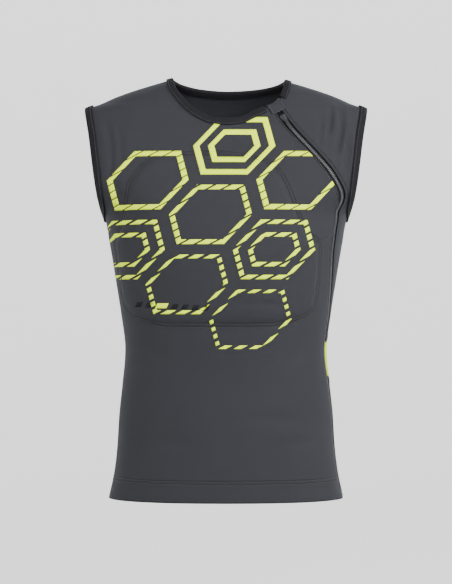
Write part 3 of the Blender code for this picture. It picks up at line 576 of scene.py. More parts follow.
def pocket_outline():
    """The stitched outline of the protector's pocket, evenly spaced all the way round."""
    level = np.linspace(PROTECTOR[0].level, PROTECTOR[-1].level, FINE)
    sides = []
    for name in ("right", "left"):
        x = half_width(level) * smooth_through(PROTECTOR, name, level)
        sides.append(body_point(level, turn_across(level, x, 1)))
    loop = np.concatenate([sides[0], sides[1][::-1], sides[0][:1]])
    even = at_shares(loop, np.linspace(0, 1, 700)[:-1])
    weights = np.hanning(13)
    weights /= weights.sum()
    wide = np.concatenate([even[-6:], even, even[:6]])
    return np.stack([np.convolve(wide[:, k], weights, "valid") for k in range(3)], axis=1)


POCKET = surface_path(on_body(pocket_outline()))
# A second line of stitching runs off the pocket's notch and up beside the zip
SeamPoint = namedtuple("SeamPoint", "x z")
LINING_SEAM = (
    SeamPoint(0.1005, -0.0930),
    SeamPoint(0.1085, -0.1000),
    SeamPoint(0.1320, -0.1240),
    SeamPoint(0.1480, -0.1460),
    SeamPoint(0.1650, -0.1870),
    SeamPoint(0.1630, -0.2120),
    SeamPoint(0.1560, -0.2350),
    SeamPoint(0.1400, -0.2430),
    SeamPoint(0.1365, -0.2440),
)
FAR_FROM_SEAMS = 0.05
BODY_OF_VEST = "vest"


def front_line(rows, count=220):
    """A smooth open line on the body's front through points seen from ahead."""
    table = np.array(rows)
    along = np.concatenate([[0], np.cumsum(np.linalg.norm(np.diff(table, axis=0), axis=1))])
    places = np.linspace(0, along[-1], count)
    x, z = (np.interp(places, along, table[:, k]) for k in range(2))
    weights = np.hanning(25)
    weights /= weights.sum()
    x, z = (np.convolve(np.pad(v, 12, "edge"), weights, "valid") for v in (x, z))
    level = -z / LENGTH
    return body_point(level, turn_across(level, x, 1))


def open_path(points):
    """An open line on the body, with arrows across it."""
    along = np.gradient(points, axis=0)
    level = -points[:, 2] / LENGTH
    normal = outward(level, turn_at(level, points[:, 0], points[:, 1]))
    across = np.cross(normal, along)
    return SignedLine(points, across / np.linalg.norm(across, axis=1, keepdims=True))


LINING = open_path(front_line(LINING_SEAM))
ZIP_LINE = SignedLine(ZIP.points, ZIP.across)


class Value:
    """A socket, on which Python's operators add Math nodes to its tree."""

    def __init__(self, nodes, socket):
        self.nodes, self.socket = nodes, socket

    def maths(self, operation, *sockets):
        return self.nodes.add("ShaderNodeMath", {"operation": operation}, sockets)

    def __add__(self, other):
        return self.maths("ADD", self, other)

    def __sub__(self, other):
        return self.maths("SUBTRACT", self, other)

    def __rsub__(self, other):
        return self.maths("SUBTRACT", other, self)

    def __mul__(self, other):
        return self.maths("MULTIPLY", self, other)

    def __truediv__(self, other):
        return self.maths("DIVIDE", self, other)

    def __pow__(self, other):
        return self.maths("POWER", self, other)

    def __abs__(self):
        return self.maths("ABSOLUTE", self)

    __radd__, __rmul__ = __add__, __mul__

    def wave(self):
        """The sine of a value in radians."""
        return self.maths("SINE", self)

    def ramp(self, start, end):
        """0 below start, 1 above end, and smooth between. The other way round if end < start."""
        low, high = min(start, end), max(start, end)
        rising = (0.0, 1.0) if end > start else (1.0, 0.0)
        sockets = (self, low, high, *rising)
        return self.nodes.add("ShaderNodeMapRange", {"interpolation_type": "SMOOTHSTEP"}, sockets)

    def output(self, name):
        """Another output of the same node."""
        return Value(self.nodes, self.nodes.named(self.socket.node.outputs, name))


class Nodes:
    """A node tree that is written as expressions."""

    def __init__(self, tree):
        self.tree = tree

    @staticmethod
    def named(sockets, key):
        if isinstance(key, int):
            return sockets[key]
        same = [s for s in sockets if s.identifier == key] or [s for s in sockets if s.name == key]
        return same[0]

    def add(self, kind, settings=None, sockets=()):
        """One node of any kind: its settings first, then its sockets' values or links."""
        node = self.tree.nodes.new(kind)
        for key, value in (settings or {}).items():
            setattr(node, key, value)
        pairs = sockets.items() if isinstance(sockets, dict) else enumerate(sockets)
        for key, value in pairs:
            socket = self.named(node.inputs, key)
            if isinstance(value, Value):
                self.tree.links.new(value.socket, socket)
            else:
                socket.default_value = value
        return Value(self, node.outputs[0]) if node.outputs else None


class Finish(Nodes):
    """A material with one Principled BSDF, whose sockets are given by name."""

    def __init__(self, name):
        self.material = bpy.data.materials.new(name)
        self.material.use_nodes = True
        super().__init__(self.material.node_tree)
        self.tree.nodes.clear()
        self.place = self.add("ShaderNodeTexCoord").output("Object")

    def noise(self, scale, detail=3.0, vector=None):
        sockets = {"Vector": vector or self.place, "Scale": scale, "Detail": detail}
        return self.add("ShaderNodeTexNoise", None, sockets)

    def blend(self, share, first, second):
        """A colour between two."""
        sockets = {"Factor_Float": share, "A_Color": first, "B_Color": second}
        mixed = self.add("ShaderNodeMix", {"data_type": "RGBA"}, sockets)
        return mixed.output("Result_Color")

    def bump(self, height, strength=1.0):
        """Normals from a height in metres."""
        sockets = {"Strength": strength, "Distance": 1.0, "Height": height}
        return self.add("ShaderNodeBump", None, sockets)

    def measure(self, name):
        """A number that the mesh carries at its points."""
        return self.add("ShaderNodeAttribute", {"attribute_name": name}).output("Fac")

    def cloth_place(self):
        """Distances across and along the cloth, from its own UV map."""
        uv = self.add("ShaderNodeTexCoord").output("UV")
        parts = self.add("ShaderNodeSeparateXYZ", None, (uv,))
        return parts.output("X"), parts.output("Y")

    def done(self, **sockets):
        names = {key.replace("_", " "): value for key, value in sockets.items()}
        shader = self.add("ShaderNodeBsdfPrincipled", None, names)
        self.add("ShaderNodeOutputMaterial", None, {"Surface": shader})
        return self.material


WALE, COURSE = 0.00075, 0.00060
POCKET_ROWS = (0.0, 0.0046)
ZIP_TOPSTITCH = ZIP_OPENING / 2 + 0.0030
HEM_SEAM = 0.625 - 0.0285
HEM_ROWS = (HEM_SEAM - 0.0030, HEM_SEAM + 0.0012)


def knit_finish(name, dark, light, sheen):
    """A matt warp-knit stretch fabric: fine wales, a slight melange and pressed-in seams, with
    painted shade darkening the colour along the seam grooves.
    """
    finish = Finish(name)
    across, along = finish.cloth_place()
    wales = (across * (2 * math.pi / WALE)).wave()
    slant = (along * (2 * math.pi / COURSE) + wales * 1.4).wave()
    loops = wales * 0.5 + slant * 0.5
    pocket = finish.measure("pocket")
    grooves = [abs(pocket - row) for row in POCKET_ROWS]
    grooves.append(abs(abs(finish.measure("zip")) - ZIP_TOPSTITCH))
    grooves.append(abs(finish.measure("lining")))
    height = finish.add("ShaderNodeSeparateXYZ", None, (finish.place,)).output("Z")
    grooves += [abs(height + row) for row in HEM_ROWS]
    sunk = grooves[0].ramp(0.0026, 0.0)
    for groove in grooves[1:]:
        sunk = sunk.maths("MAXIMUM", sunk, groove.ramp(0.0026, 0.0))
    # Painted shade: the colour is darkened along the seam and stitch grooves, where shadow would
    # fall in them.
    painted_groove_shade = grooves[0].ramp(0.0011, 0.0002)
    for groove in grooves[1:]:
        painted_groove_shade = painted_groove_shade.maths("MAXIMUM", painted_groove_shade, groove.ramp(0.0011, 0.0002))
    cloudy = finish.noise(9.0, 4.0)
    melange = finish.noise(900.0, 2.0)
    tone = finish.blend(cloudy * 0.55 + melange * 0.45, dark, light)
    shade = finish.blend(painted_groove_shade * 0.75, tone, tuple(0.35 * c for c in dark[:3]) + (1.0,))
    pucker = finish.noise(160.0, 2.0) * 0.00018 * pocket.ramp(0.016, 0.0)
    relief = loops * 0.000028 - sunk * 0.00085 + pucker + cloudy * 0.0012
    return finish.done(
        Base_Color=shade,
        Roughness=0.86 - 0.08 * melange,
        Specular_IOR_Level=0.18,
        Sheen_Weight=sheen,
        Sheen_Roughness=0.45,
        Sheen_Tint=(0.80, 0.86, 1.0, 1.0),
        Normal=finish.bump(relief),
    )


DARK_GREY, LIGHT_GREY = (0.0165, 0.0168, 0.0202, 1), (0.0250, 0.0256, 0.0305, 1)
GREY_KNIT = knit_finish("grey_stretch_knit", DARK_GREY, LIGHT_GREY, 0.05)


def grid_faces(rows, columns):
    """Faces of a grid whose rows run upwards and columns run clockwise round the body."""
    r, c = np.meshgrid(np.arange(rows - 1), np.arange(columns - 1), indexing="ij")
    first = (r * columns + c).ravel()
    return np.stack([first, first + 1, first + columns + 1, first + columns], axis=1)


def add_piece(name, mesh, finish, body=BODY_OF_VEST, smooth=math.radians(50)):
    """Links a finished mesh to the scene and rides it on its body."""
    mesh.shade_smooth()
    mesh.set_sharp_from_angle(angle=smooth)
    if finish:
        mesh.materials.append(finish)
    made = bpy.data.objects.new(name, mesh)
    bpy.context.scene.collection.objects.link(made)
    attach(made, body)
    return made


def set_uv(mesh, across, along):
    """A UV map in metres, from a value of each at every vertex."""
    layer = mesh.uv_layers.new(name="cloth")
    corner = np.empty(len(mesh.loops), int)
    mesh.loops.foreach_get("vertex_index", corner)
    layer.data.foreach_set("uv", np.stack([across[corner], along[corner]], axis=1).ravel())


def set_measure(mesh, name, values):
    mesh.attributes.new(name, "FLOAT", "POINT").data.foreach_set("value", values.ravel())


def cloth_piece(name, points, finish, wall=FABRIC, measures=()):
    """A cloth piece: an open surface with its thickness behind it, and its UV map in metres."""
    rows, columns = points.shape[:2]
    mesh = bpy.data.meshes.new(name)
    mesh.from_pydata(points.reshape(-1, 3).tolist(), [], grid_faces(rows, columns).tolist())
    steps = np.linalg.norm(np.diff(points, axis=1), axis=2)
    across = np.concatenate([np.zeros((rows, 1)), np.cumsum(steps, axis=1)], axis=1)
    rises = np.linalg.norm(np.diff(points, axis=0), axis=2)
    along = np.concatenate([np.zeros((1, columns)), np.cumsum(rises, axis=0)])
    set_uv(mesh, across.ravel(), along.ravel())
    for measure in ("pocket", "zip", "lining"):
        values = dict(measures).get(measure, np.full((rows, columns), FAR_FROM_SEAMS))
        set_measure(mesh, measure, values)
    made = add_piece(name, mesh, finish)
    thickness = made.modifiers.new("fabric thickness", "SOLIDIFY")
    thickness.thickness = wall
    thickness.offset = -1.0
    return made


tip = float(armhole_x(TIP_LEVEL))
front_xs = along_shoulder(-tip, NECK_RIGHT, SHOULDER_CELLS)
front_xs += along_collar(NECK_RIGHT, collar_crossing(ZIP_SIDE_OF_FRONT), 1, FRONT_COLLAR)
FRONT_ROWS = Rows(110, 78)
smooth_front = cloth(RIGHT_OUTER, ZIP_SIDE_OF_FRONT, FRONT_SHARES, front_xs, 1, FRONT_ROWS, 10)
front = worn(smooth_front)
pocket_distance = signed_distance(front, POCKET)
# The pocket's edge is a soft step where the protector ends
front += grid_normals(front) * (0.0017 * ease(-pocket_distance / 0.009))[..., None]
front_measures = {
    "pocket": pocket_distance,
    "zip": signed_distance(front, ZIP_LINE),
    "lining": signed_distance(front, LINING),
}
front_panel = cloth_piece("front_knit_panel", front, GREY_KNIT, measures=front_measures)
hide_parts("front_panel")

# Left shoulder panel, waist insert and left hip panel.
# Three pieces fill the wearer's left between the zip and the back: grey knit over the shoulder
# and under the arm, a wedge of lime knit at the waist, and grey knit again down to the hem.
INSERT_TOP = (0.628, 0.585)
INSERT_BOTTOM = (0.708, 0.770)
SIDE_SHARES = (
    *(0.000, 0.100, 0.190, 0.270),
    *(0.340, 0.420, 0.510, 0.610, 0.710, 0.820, 0.920, 1.000),
)
SIDE_COLLAR = (0.00, 0.30, 0.58, 0.82)
side_xs = along_collar(collar_crossing(ZIP_SIDE_OF_SIDE), NECK_LEFT, 1, SIDE_COLLAR)
side_xs += along_shoulder(NECK_LEFT, tip, len(SIDE_SHARES) - 1 - len(SIDE_COLLAR))


def slanting(ends, gap):
    """A seam that slants from the zip to the side seam, as a level at each share."""
    return lambda share: ends[0] + (ends[1] - ends[0]) * share + gap / LENGTH


def low_cloth(bottom, top, rows, columns):
    """A panel wholly below the arms, between two slanting seams."""
    made = []
    for share in np.linspace(0, 1, columns):
        level = np.linspace(bottom(share), top(share), rows)
        turn = (1 - share) * ZIP_SIDE_OF_SIDE.turn(level) + share * LEFT_OUTER.turn(level)
        made.append(body_point(level, turn))
    return np.stack(made, axis=1)


def zip_measures(points):
    return {"zip": signed_distance(points, ZIP_LINE)}


shoulder_bottom = slanting(INSERT_TOP, -SEAM_GAP / 2)
edges = (ZIP_SIDE_OF_SIDE, LEFT_OUTER)
shoulder = worn(cloth(*edges, SIDE_SHARES, side_xs, 1, Rows(80, 78), 8, shoulder_bottom))
shoulder_panel = cloth_piece(
    "left_shoulder_knit_panel", shoulder, GREY_KNIT, measures=zip_measures(shoulder)
)
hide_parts("left_shoulder_panel")

LIME_KNIT = knit_finish("lime_stretch_knit", (0.62, 0.84, 0.0, 1), (0.76, 0.98, 0.0, 1), 0.0)
insert_ends = (slanting(INSERT_BOTTOM, -SEAM_GAP / 2), slanting(INSERT_TOP, SEAM_GAP / 2))
insert = low_cloth(*insert_ends, 40, 34)
insert_panel = cloth_piece("waist_lime_insert", insert, LIME_KNIT, measures=zip_measures(insert))
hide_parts("waist_insert")

hip = low_cloth(lambda share: 1.0, slanting(INSERT_BOTTOM, SEAM_GAP / 2), 70, 34)
hip_panel = cloth_piece("left_hip_knit_panel", hip, GREY_KNIT, measures=zip_measures(hip))
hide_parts("left_hip_panel")

# Back panel.
# One plain piece of the same knit from side seam to side seam, seen from the front only as the
# inside of the back below its collar.
BACK_SHARES = (
    *(0.000, 0.024, 0.060, 0.105, 0.155, 0.210, 0.275),
    *(0.350, 0.375, 0.405, 0.435, 0.467, 0.500, 0.533, 0.565, 0.595, 0.625, 0.650),
    *(0.725, 0.790, 0.845, 0.895, 0.940, 0.976, 1.000),
)
BACK_COLLAR = (0.09, 0.18, 0.28, 0.39, 0.50, 0.61, 0.72, 0.82, 0.91)
back_xs = along_shoulder(tip, NECK_LEFT, SHOULDER_CELLS)
back_xs += along_collar(NECK_LEFT, NECK_RIGHT, -1, BACK_COLLAR)
back_xs += along_shoulder(NECK_RIGHT, -tip, SHOULDER_CELLS)
back = cloth(BACK_LEFT, BACK_RIGHT, BACK_SHARES, back_xs, -1, Rows(110, 78), 7)
back_panel = cloth_piece("back_knit_panel", back, GREY_KNIT)
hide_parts("back_panel")

# Hems.
# The lower edge of each panel is turned up 28 mm inside and held by two rows of stitching, so
# a second layer of knit lies behind the front, the hip and the back.
HEM_DEPTH = 0.028
HEM_CLEARANCE = 0.0004


def hem_layer(panel, rows=8):
    """The turned-up layer behind a panel's lower edge."""
    made = []
    edge = panel[0]
    turn = turn_at(-edge[:, 2] / LENGTH, edge[:, 0], edge[:, 1])
    above = panel[8]
    turn_above = turn_at(-above[:, 2] / LENGTH, above[:, 0], above[:, 1])
    rise = -(above[:, 2] - edge[:, 2]) / LENGTH
    for level in np.linspace(1.0, 1.0 - HEM_DEPTH / LENGTH, rows):
        at = turn + (turn_above - turn) * (level - 1.0) / rise
        inwards = outward(np.full(len(at), level), at) * (FABRIC + HEM_CLEARANCE)
        made.append(body_point(level, at) - inwards)
    return np.array(made)


HemPiece = namedtuple("HemPiece", "label panel length")
HEMS = (
    HemPiece("front", front[:, 2:-6], 0.50),
    HemPiece("side", hip[:, 2:], 0.07),
    HemPiece("back", back[:, 2:-2], 0.38),
)
for label, panel, length in HEMS:
    hem = cloth_piece(f"hem_inside_{label}", hem_layer(panel), GREY_KNIT)
    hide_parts(f"hem_{label}")

# Folded bindings.
# Black folded elastic, 8.5 mm wide, is wrapped round the edges of both armholes and of the
# collar and sewn through with one row of black thread.
BINDING_WIDTH = 0.0085
BINDING_WALL = 0.0010
BINDING_CHANNEL = 0.0015


def unit(vector):
    return vector / np.linalg.norm(vector)


def edge_frames(edge, closed):
    """Frames along a cut edge: across points into the fabric, normal points out of it."""
    count = len(edge)
    centre = np.mean(edge, axis=0)
    frames = []
    for i, point in enumerate(edge):
        before = edge[(i - 1) % count] if closed or i > 0 else point
        after = edge[(i + 1) % count] if closed or i < count - 1 else point
        level = -point[2] / LENGTH
        normal = outward(level, turn_at(level, point[0], point[1]))
        along = unit(after - before)
        across = unit(np.cross(normal, along))
        if np.dot(across, point - centre) < 0:
            across = -across
        lift = unit(np.cross(along, across))
        frames.append((point, across, lift if np.dot(lift, normal) > 0 else -lift))
    return frames


def binding_section():
    """Section of the binding round the fabric's edge, with a rounded fold."""
    outer = BINDING_CHANNEL + BINDING_WALL
    below = FABRIC + outer
    centre, radius = -FABRIC / 2, (outer + below) / 2
    fold = [
        (-outer * 0.1 - 0.92 * outer * math.sin(a), centre + radius * math.cos(a))
        for a in np.linspace(0.15, math.pi - 0.15, 9)
    ]
    return [
        (BINDING_WIDTH, outer * 0.82),
        (BINDING_WIDTH * 0.93, outer),
        (BINDING_WIDTH * 0.45, outer * 1.03),
        *fold,
        (BINDING_WIDTH * 0.45, -below),
        (BINDING_WIDTH, -below),
        (BINDING_WIDTH, -FABRIC - BINDING_CHANNEL * 0.6),
        (-BINDING_CHANNEL * 0.4, -FABRIC - BINDING_CHANNEL * 0.6),
        (-BINDING_CHANNEL * 0.4, BINDING_CHANNEL * 0.6),
        (BINDING_WIDTH, BINDING_CHANNEL * 0.6),
    ]


def lofted(name, rings, closed, finish):
    """A skin over rings of points, closed into a loop or capped, with UVs in metres."""
    rings = np.asarray(rings)
    count, ring = rings.shape[:2]
    along = arc_lengths(rings[:, 0])
    round_it = np.concatenate([[0], np.cumsum(np.linalg.norm(np.diff(rings[0], axis=0), axis=1))])
    faces = []
    for s in range(count if closed else count - 1):
        here, there = s * ring, (s + 1) % count * ring
        for k in range(ring):
            following = (k + 1) % ring
            faces.append((here + k, here + following, there + following, there + k))
    if not closed:
        faces.append(tuple(range(ring)))
        faces.append(tuple(reversed(range((count - 1) * ring, count * ring))))
    mesh = bpy.data.meshes.new(name)
    mesh.from_pydata(rings.reshape(-1, 3).tolist(), [], faces)
    shape = bmesh.new()
    shape.from_mesh(mesh)
    bmesh.ops.recalc_face_normals(shape, faces=shape.faces)
    shape.to_mesh(mesh)
    shape.free()
    set_uv(mesh, np.tile(round_it, count), np.repeat(along, ring))
    return add_piece(name, mesh, finish)


def binding_rings(frames):
    """The binding's section at each frame; its flange over the cloth follows the body."""
    rings = []
    for origin, across, normal in frames:
        ring = [origin + across * a + normal * n for a, n in binding_section()]
        for k, (a, n) in enumerate(binding_section()):
            if a > 0:
                ring[k] = on_body(origin + across * a, n)
        rings.append(ring)
    return rings


def ribbed_finish(name, dark, light):
    """Black folded elastic with fine ribs across it and a soft lengthwise grain; painted shade
    makes the colour lighter on the ribs' crests and darker between them.
    """
    finish = Finish(name)
    across, along = finish.cloth_place()
    ribs = (along * (2 * math.pi / 0.0011)).wave()
    grain = (across * (2 * math.pi / 0.0007)).wave()
    cloudy = finish.noise(60.0, 3.0)
    return finish.done(
        # Painted shade: the ribs' term lightens their crests and darkens the troughs between them;
        # the cloudy term is the elastic's own uneven tone.
        Base_Color=finish.blend(cloudy * 0.7 + ribs * 0.15 + 0.15, dark, light),
        Roughness=0.78 + 0.1 * cloudy,
        Specular_IOR_Level=0.16,
        Normal=finish.bump(ribs * 0.00006 + grain * 0.00002),
    )


RIB_SHADE, RIB_LIGHT = (0.0050, 0.0048, 0.0062, 1), (0.0120, 0.0115, 0.0145, 1)
BLACK_ELASTIC = ribbed_finish("black_folded_elastic", RIB_SHADE, RIB_LIGHT)


def joined_edge(*runs):
    """Several edge runs as one line, with the two points at each seam made one."""
    line = list(runs[0])
    for run in runs[1:]:
        line[-1] = (line[-1] + run[0]) / 2
        line += list(run[1:])
    return np.array(line)


def armhole_line(front_run, back_run):
    """The whole edge of one armhole as a closed line."""
    line = joined_edge(front_run, back_run[::-1])
    line[0] = (line[0] + line[-1]) / 2
    return line[:-1]


low_rows = FRONT_ROWS.low - 1
armhole_lines = {
    "right": armhole_line(smooth_front[low_rows:, 0], back[low_rows:, -1]),
    "left": armhole_line(shoulder[79:, -1], back[low_rows:, 0]),
}
binding_frames = {}
for side, line in armhole_lines.items():
    binding_frames[side] = edge_frames(line, True)
    rings = binding_rings(binding_frames[side])
    binding = lofted(f"armhole_elastic_{side}", rings, True, BLACK_ELASTIC)
    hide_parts(f"armhole_binding_{side}")

GARAGE_WIDTH = 0.0235
ZIP_START = next(
    i
    for i, point in enumerate(ZIP.points)
    if point[2] < 0 and -point[2] / LENGTH > top_level(float(point[0]), 1)
)
zip_top = ZIP.points[ZIP_START]
neck_column = SHOULDER_CELLS * 10
back_neck = SHOULDER_CELLS * 7


def kept_from_zip(run):
    """The part of a collar run that stays clear of the tab over the zip."""
    return run[np.linalg.norm(run - zip_top, axis=1) > GARAGE_WIDTH / 2 + 3 * SEAM_GAP]


collar_line = joined_edge(
    kept_from_zip(smooth_front[-1, neck_column:][::-1]),
    back[-1, back_neck:-back_neck][::-1],
    kept_from_zip(shoulder[-1, : len(SIDE_COLLAR) * 8 + 1])[::-1],
)
binding_frames["collar"] = edge_frames(collar_line, False)
collar = lofted("collar_elastic", binding_rings(binding_frames["collar"]), False, BLACK_ELASTIC)
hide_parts("neck_binding")

# Stitching.
# Black and grey polyester thread: twin rows round the protector's pocket and the hem, one row
# beside the zip and along each binding, and flatlock seams at the shoulders and sides.
BAR_SIZES = ("Pitch", "Bar start", "Bar end", "Thread radius", "Rise", "Turn", "Alternate turn")


def thread_tree():
    """Short arched bars of thread along a path, straight, turned or slanting by turns."""
    tree = bpy.data.node_groups.new("bars along a path", "GeometryNodeTree")
    face = tree.interface
    face.new_socket("Path", in_out="INPUT", socket_type="NodeSocketGeometry")
    for name in BAR_SIZES:
        face.new_socket(name, in_out="INPUT", socket_type="NodeSocketFloat")
    face.new_socket("Thread", in_out="INPUT", socket_type="NodeSocketMaterial")
    face.new_socket("Bars", in_out="OUTPUT", socket_type="NodeSocketGeometry")
    nodes = Nodes(tree)
    given = nodes.add("NodeGroupInput")
    curve = nodes.add("GeometryNodeMeshToCurve", None, (given,))
    sockets = {"Curve": curve, "Length": given.output("Pitch")}
    places = nodes.add("GeometryNodeResampleCurve", {"mode": "LENGTH"}, sockets)
    start, end, rise = (given.output(name) for name in ("Bar start", "Bar end", "Rise"))
    middle = (start + end) * 0.5
    arch = {
        "Resolution": 4,
        "Start": nodes.add("ShaderNodeCombineXYZ", None, (start, 0.0, 0.0)),
        "Middle": nodes.add("ShaderNodeCombineXYZ", None, (middle, 0.0, rise * 2.0)),
        "End": nodes.add("ShaderNodeCombineXYZ", None, (end, 0.0, 0.0)),
    }
    bar_line = nodes.add("GeometryNodeCurveQuadraticBezier", None, arch)
    sockets = {"Resolution": 6, "Radius": given.output("Thread radius")}
    section = nodes.add("GeometryNodeCurvePrimitiveCircle", None, sockets)
    sockets = {"Curve": bar_line, "Profile Curve": section, "Fill Caps": True}
    bar = nodes.add("GeometryNodeCurveToMesh", None, sockets)
    out = nodes.add("GeometryNodeInputNamedAttribute", {"data_type": "FLOAT_VECTOR"}, ("out",))
    axes = {"primary_axis": "Z", "secondary_axis": "X"}
    tangent = nodes.add("GeometryNodeInputTangent")
    facing = nodes.add("FunctionNodeAxesToRotation", axes, (out, tangent))
    index = nodes.add("GeometryNodeInputIndex")
    parity = index.maths("MODULO", index, 2.0) * 2.0 - 1.0
    angle = given.output("Turn") + parity * given.output("Alternate turn")
    turn = nodes.add("FunctionNodeAxisAngleToRotation", None, {"Axis": (0, 0, 1), "Angle": angle})
    local = {"rotation_space": "LOCAL"}
    rotation = nodes.add("FunctionNodeRotateRotation", local, (facing, turn))
    sockets = {"Points": places, "Instance": bar, "Rotation": rotation}
    bars = nodes.add("GeometryNodeInstanceOnPoints", None, sockets)
    solid = nodes.add("GeometryNodeRealizeInstances", None, (bars,))
    sockets = {"Geometry": solid, "Material": given.output("Thread")}
    finished = nodes.add("GeometryNodeSetMaterial", None, sockets)
    nodes.add("NodeGroupOutput", None, (finished,))
    return tree


THREAD_BARS = thread_tree()
Path = namedtuple("Path", "points out closed")


def bars_along(name, paths, sizes, finish):
    """Runs the thread tree over paths that carry their outward directions."""
    points = np.concatenate([path.points for path in paths])
    out = np.concatenate([path.out for path in paths])
    edges, first = [], 0
    for path in paths:
        count = len(path.points)
        edges += [(first + i, first + i + 1) for i in range(count - 1)]
        if path.closed:
            edges.append((first + count - 1, first))
        first += count
    mesh = bpy.data.meshes.new("path")
    mesh.from_pydata(points.tolist(), edges, [])
    mesh.attributes.new("out", "FLOAT_VECTOR", "POINT").data.foreach_set("vector", out.ravel())
    holder = bpy.data.objects.new("path", mesh)
    bpy.context.scene.collection.objects.link(holder)
    modifier = holder.modifiers.new("bars", "NODES")
    modifier.node_group = THREAD_BARS
    sockets = {item.name: item.identifier for item in THREAD_BARS.interface.items_tree}
    for key, value in {**sizes, "Thread": finish}.items():
        modifier[sockets[key]] = value
    graph = bpy.context.evaluated_depsgraph_get()
    made = bpy.data.meshes.new_from_object(holder.evaluated_get(graph))
    bpy.data.objects.remove(holder, do_unlink=True)
    made.name = name
    return add_piece(name, made, None)


def thread_finish(name, colour, light):
    """Spun polyester: twisted fibre with a faint gloss."""
    finish = Finish(name)
    twist = finish.noise(2500.0, 2.0)
    return finish.done(
        Base_Color=finish.blend(twist, colour, light),
        Roughness=0.55 + 0.2 * twist,
        Sheen_Weight=0.2,
        Normal=finish.bump(twist * 0.00005),
    )


BLACK_THREAD = thread_finish("black_thread", (0.010, 0.010, 0.012, 1), (0.022, 0.022, 0.026, 1))
GREY_THREAD = thread_finish("grey_thread", (0.030, 0.031, 0.036, 1), (0.048, 0.050, 0.058, 1))
STITCH = {
    "Pitch": 0.0034,
    "Bar start": -0.00135,
    "Bar end": 0.00135,
    "Thread radius": 0.00024,
    "Rise": 0.00018,
    "Turn": 0.0,
    "Alternate turn": 0.0,
}


def skin_of(*grids):
    """The outer surfaces of panels, for laying thread and print on them."""
    points, faces, first = [], [], 0
    for grid in grids:
        points += grid.reshape(-1, 3).tolist()
        faces += (grid_faces(*grid.shape[:2]) + first).tolist()
        first += grid.shape[0] * grid.shape[1]
    return BVHTree.FromPolygons(points, faces)


FRONT_SKIN = skin_of(front)
WHOLE_SKIN = skin_of(front, shoulder, insert, hip, back)


def laid_on(skin, points, lift, closed=False):
    """A path on a panel's surface, lifted a little off it."""
    hits = [skin.find_nearest(Vector(point)) for point in points]
    at = np.array([hit[0] for hit in hits])
    out = np.array([hit[1] for hit in hits])
    level = -at[:, 2] / LENGTH
    body_out = outward(level, turn_at(level, at[:, 0], at[:, 1]))
    out *= np.where(np.sum(out * body_out, axis=1) < 0, -1, 1)[:, None]
    return Path(at + out * lift, out, closed)


def beside_line(line, offset, start=0, end=None):
    """A run of points beside a line on the body."""
    return on_body((line.points + line.across * offset)[start:end])


def level_run(start_turn, end_turn, level, count=300):
    """A run round the body at one level."""
    return body_point(np.full(count, level), np.linspace(start_turn, end_turn, count))


pocket_paths = [laid_on(FRONT_SKIN, beside_line(POCKET, row), 0.00005, True) for row in POCKET_ROWS]
stitches = bars_along("pocket_stitching", pocket_paths, STITCH, BLACK_THREAD)
lining_path = laid_on(FRONT_SKIN, LINING.points, 0.00005)
stitches = bars_along("lining_stitching", [lining_path], STITCH, GREY_THREAD)

hem_levels = [row / LENGTH for row in HEM_ROWS]
hem_paths = [
    laid_on(WHOLE_SKIN, level_run(float(ZIP_SIDE_OF_FRONT.turn(v)) + 1.5, 186.0, v), 0.00005)
    for v in hem_levels
]
hem_paths += [laid_on(WHOLE_SKIN, level_run(-174.0, -2.5, v), 0.00005) for v in hem_levels]
stitches = bars_along("hem_stitching", hem_paths, STITCH, GREY_THREAD)

zip_last = int(np.argmax(-ZIP.points[:, 2] > LENGTH - 0.003))
zip_runs = [
    laid_on(WHOLE_SKIN, beside_line(ZIP, side * ZIP_TOPSTITCH, ZIP_START + 26, zip_last), 0.00005)
    for side in (-1, 1)
]
stitches = bars_along("zip_stitching", zip_runs, STITCH, BLACK_THREAD)

binding_paths = []
for place, frames in binding_frames.items():
    lift = BINDING_CHANNEL + BINDING_WALL
    rows = [on_body(origin + across * BINDING_WIDTH * 0.78, lift) for origin, across, _ in frames]
    out = np.array([normal for _, _, normal in frames])
    binding_paths.append(Path(np.array(rows), out, place != "collar"))
stitches = bars_along("binding_stitching", binding_paths, STITCH, BLACK_THREAD)

# Flatlock seams: a ladder of thread over the butted edges, with a strip of knit behind them
FLATLOCK_HALF = 0.0026
FLATLOCK = {
    **STITCH,
    "Pitch": 0.0013,
    "Bar start": -FLATLOCK_HALF,
    "Bar end": FLATLOCK_HALF,
    "Rise": 0.00022,
    "Turn": math.pi / 2,
    "Alternate turn": 0.22,
}


def seam_runs():
    """The middle lines of the shoulder, side and insert seams."""
    runs = {}
    seam_levels = np.linspace(ARMPIT_LEVEL + 0.022, 0.994, 260)
    left = SEAM.points[(SEAM.points[:, 2] < -seam_levels[0] * LENGTH)]
    left = left[left[:, 2] > -seam_levels[-1] * LENGTH]
    runs["side_left"] = left
    runs["side_right"] = left * np.array([-1, 1, 1])
    for label, first, last in (("right", -tip, NECK_RIGHT), ("left", NECK_LEFT, tip)):
        inset = 0.0105 * np.sign(last - first)
        xs = np.linspace(first + inset, last - inset, 90)
        level = np.array([shoulder_level(float(x)) for x in xs])
        runs[f"shoulder_{label}"] = np.stack([xs, np.zeros(90), -level * LENGTH], axis=1)
    for label, ends in (("top", INSERT_TOP), ("bottom", INSERT_BOTTOM)):
        share = np.linspace(0.05, 0.96, 60)
        level = slanting(ends, 0.0)(share)
        turn = (1 - share) * ZIP_SIDE_OF_SIDE.turn(level) + share * LEFT_OUTER.turn(level)
        runs[f"insert_{label}"] = body_point(level, turn)
    return runs


def seam_out(points):
    """Outward directions at a seam, straight up along the shoulders."""
    level = -points[:, 2] / LENGTH
    turn = turn_at(level, points[:, 0], points[:, 1])
    shift = np.where(np.abs(turn) < 1.5, 1.5, 0.0) + np.where(np.abs(turn) > 178.5, -1.5, 0.0)
    out = outward(level, turn + shift) + outward(level, turn - shift)
    return out / np.linalg.norm(out, axis=1, keepdims=True)


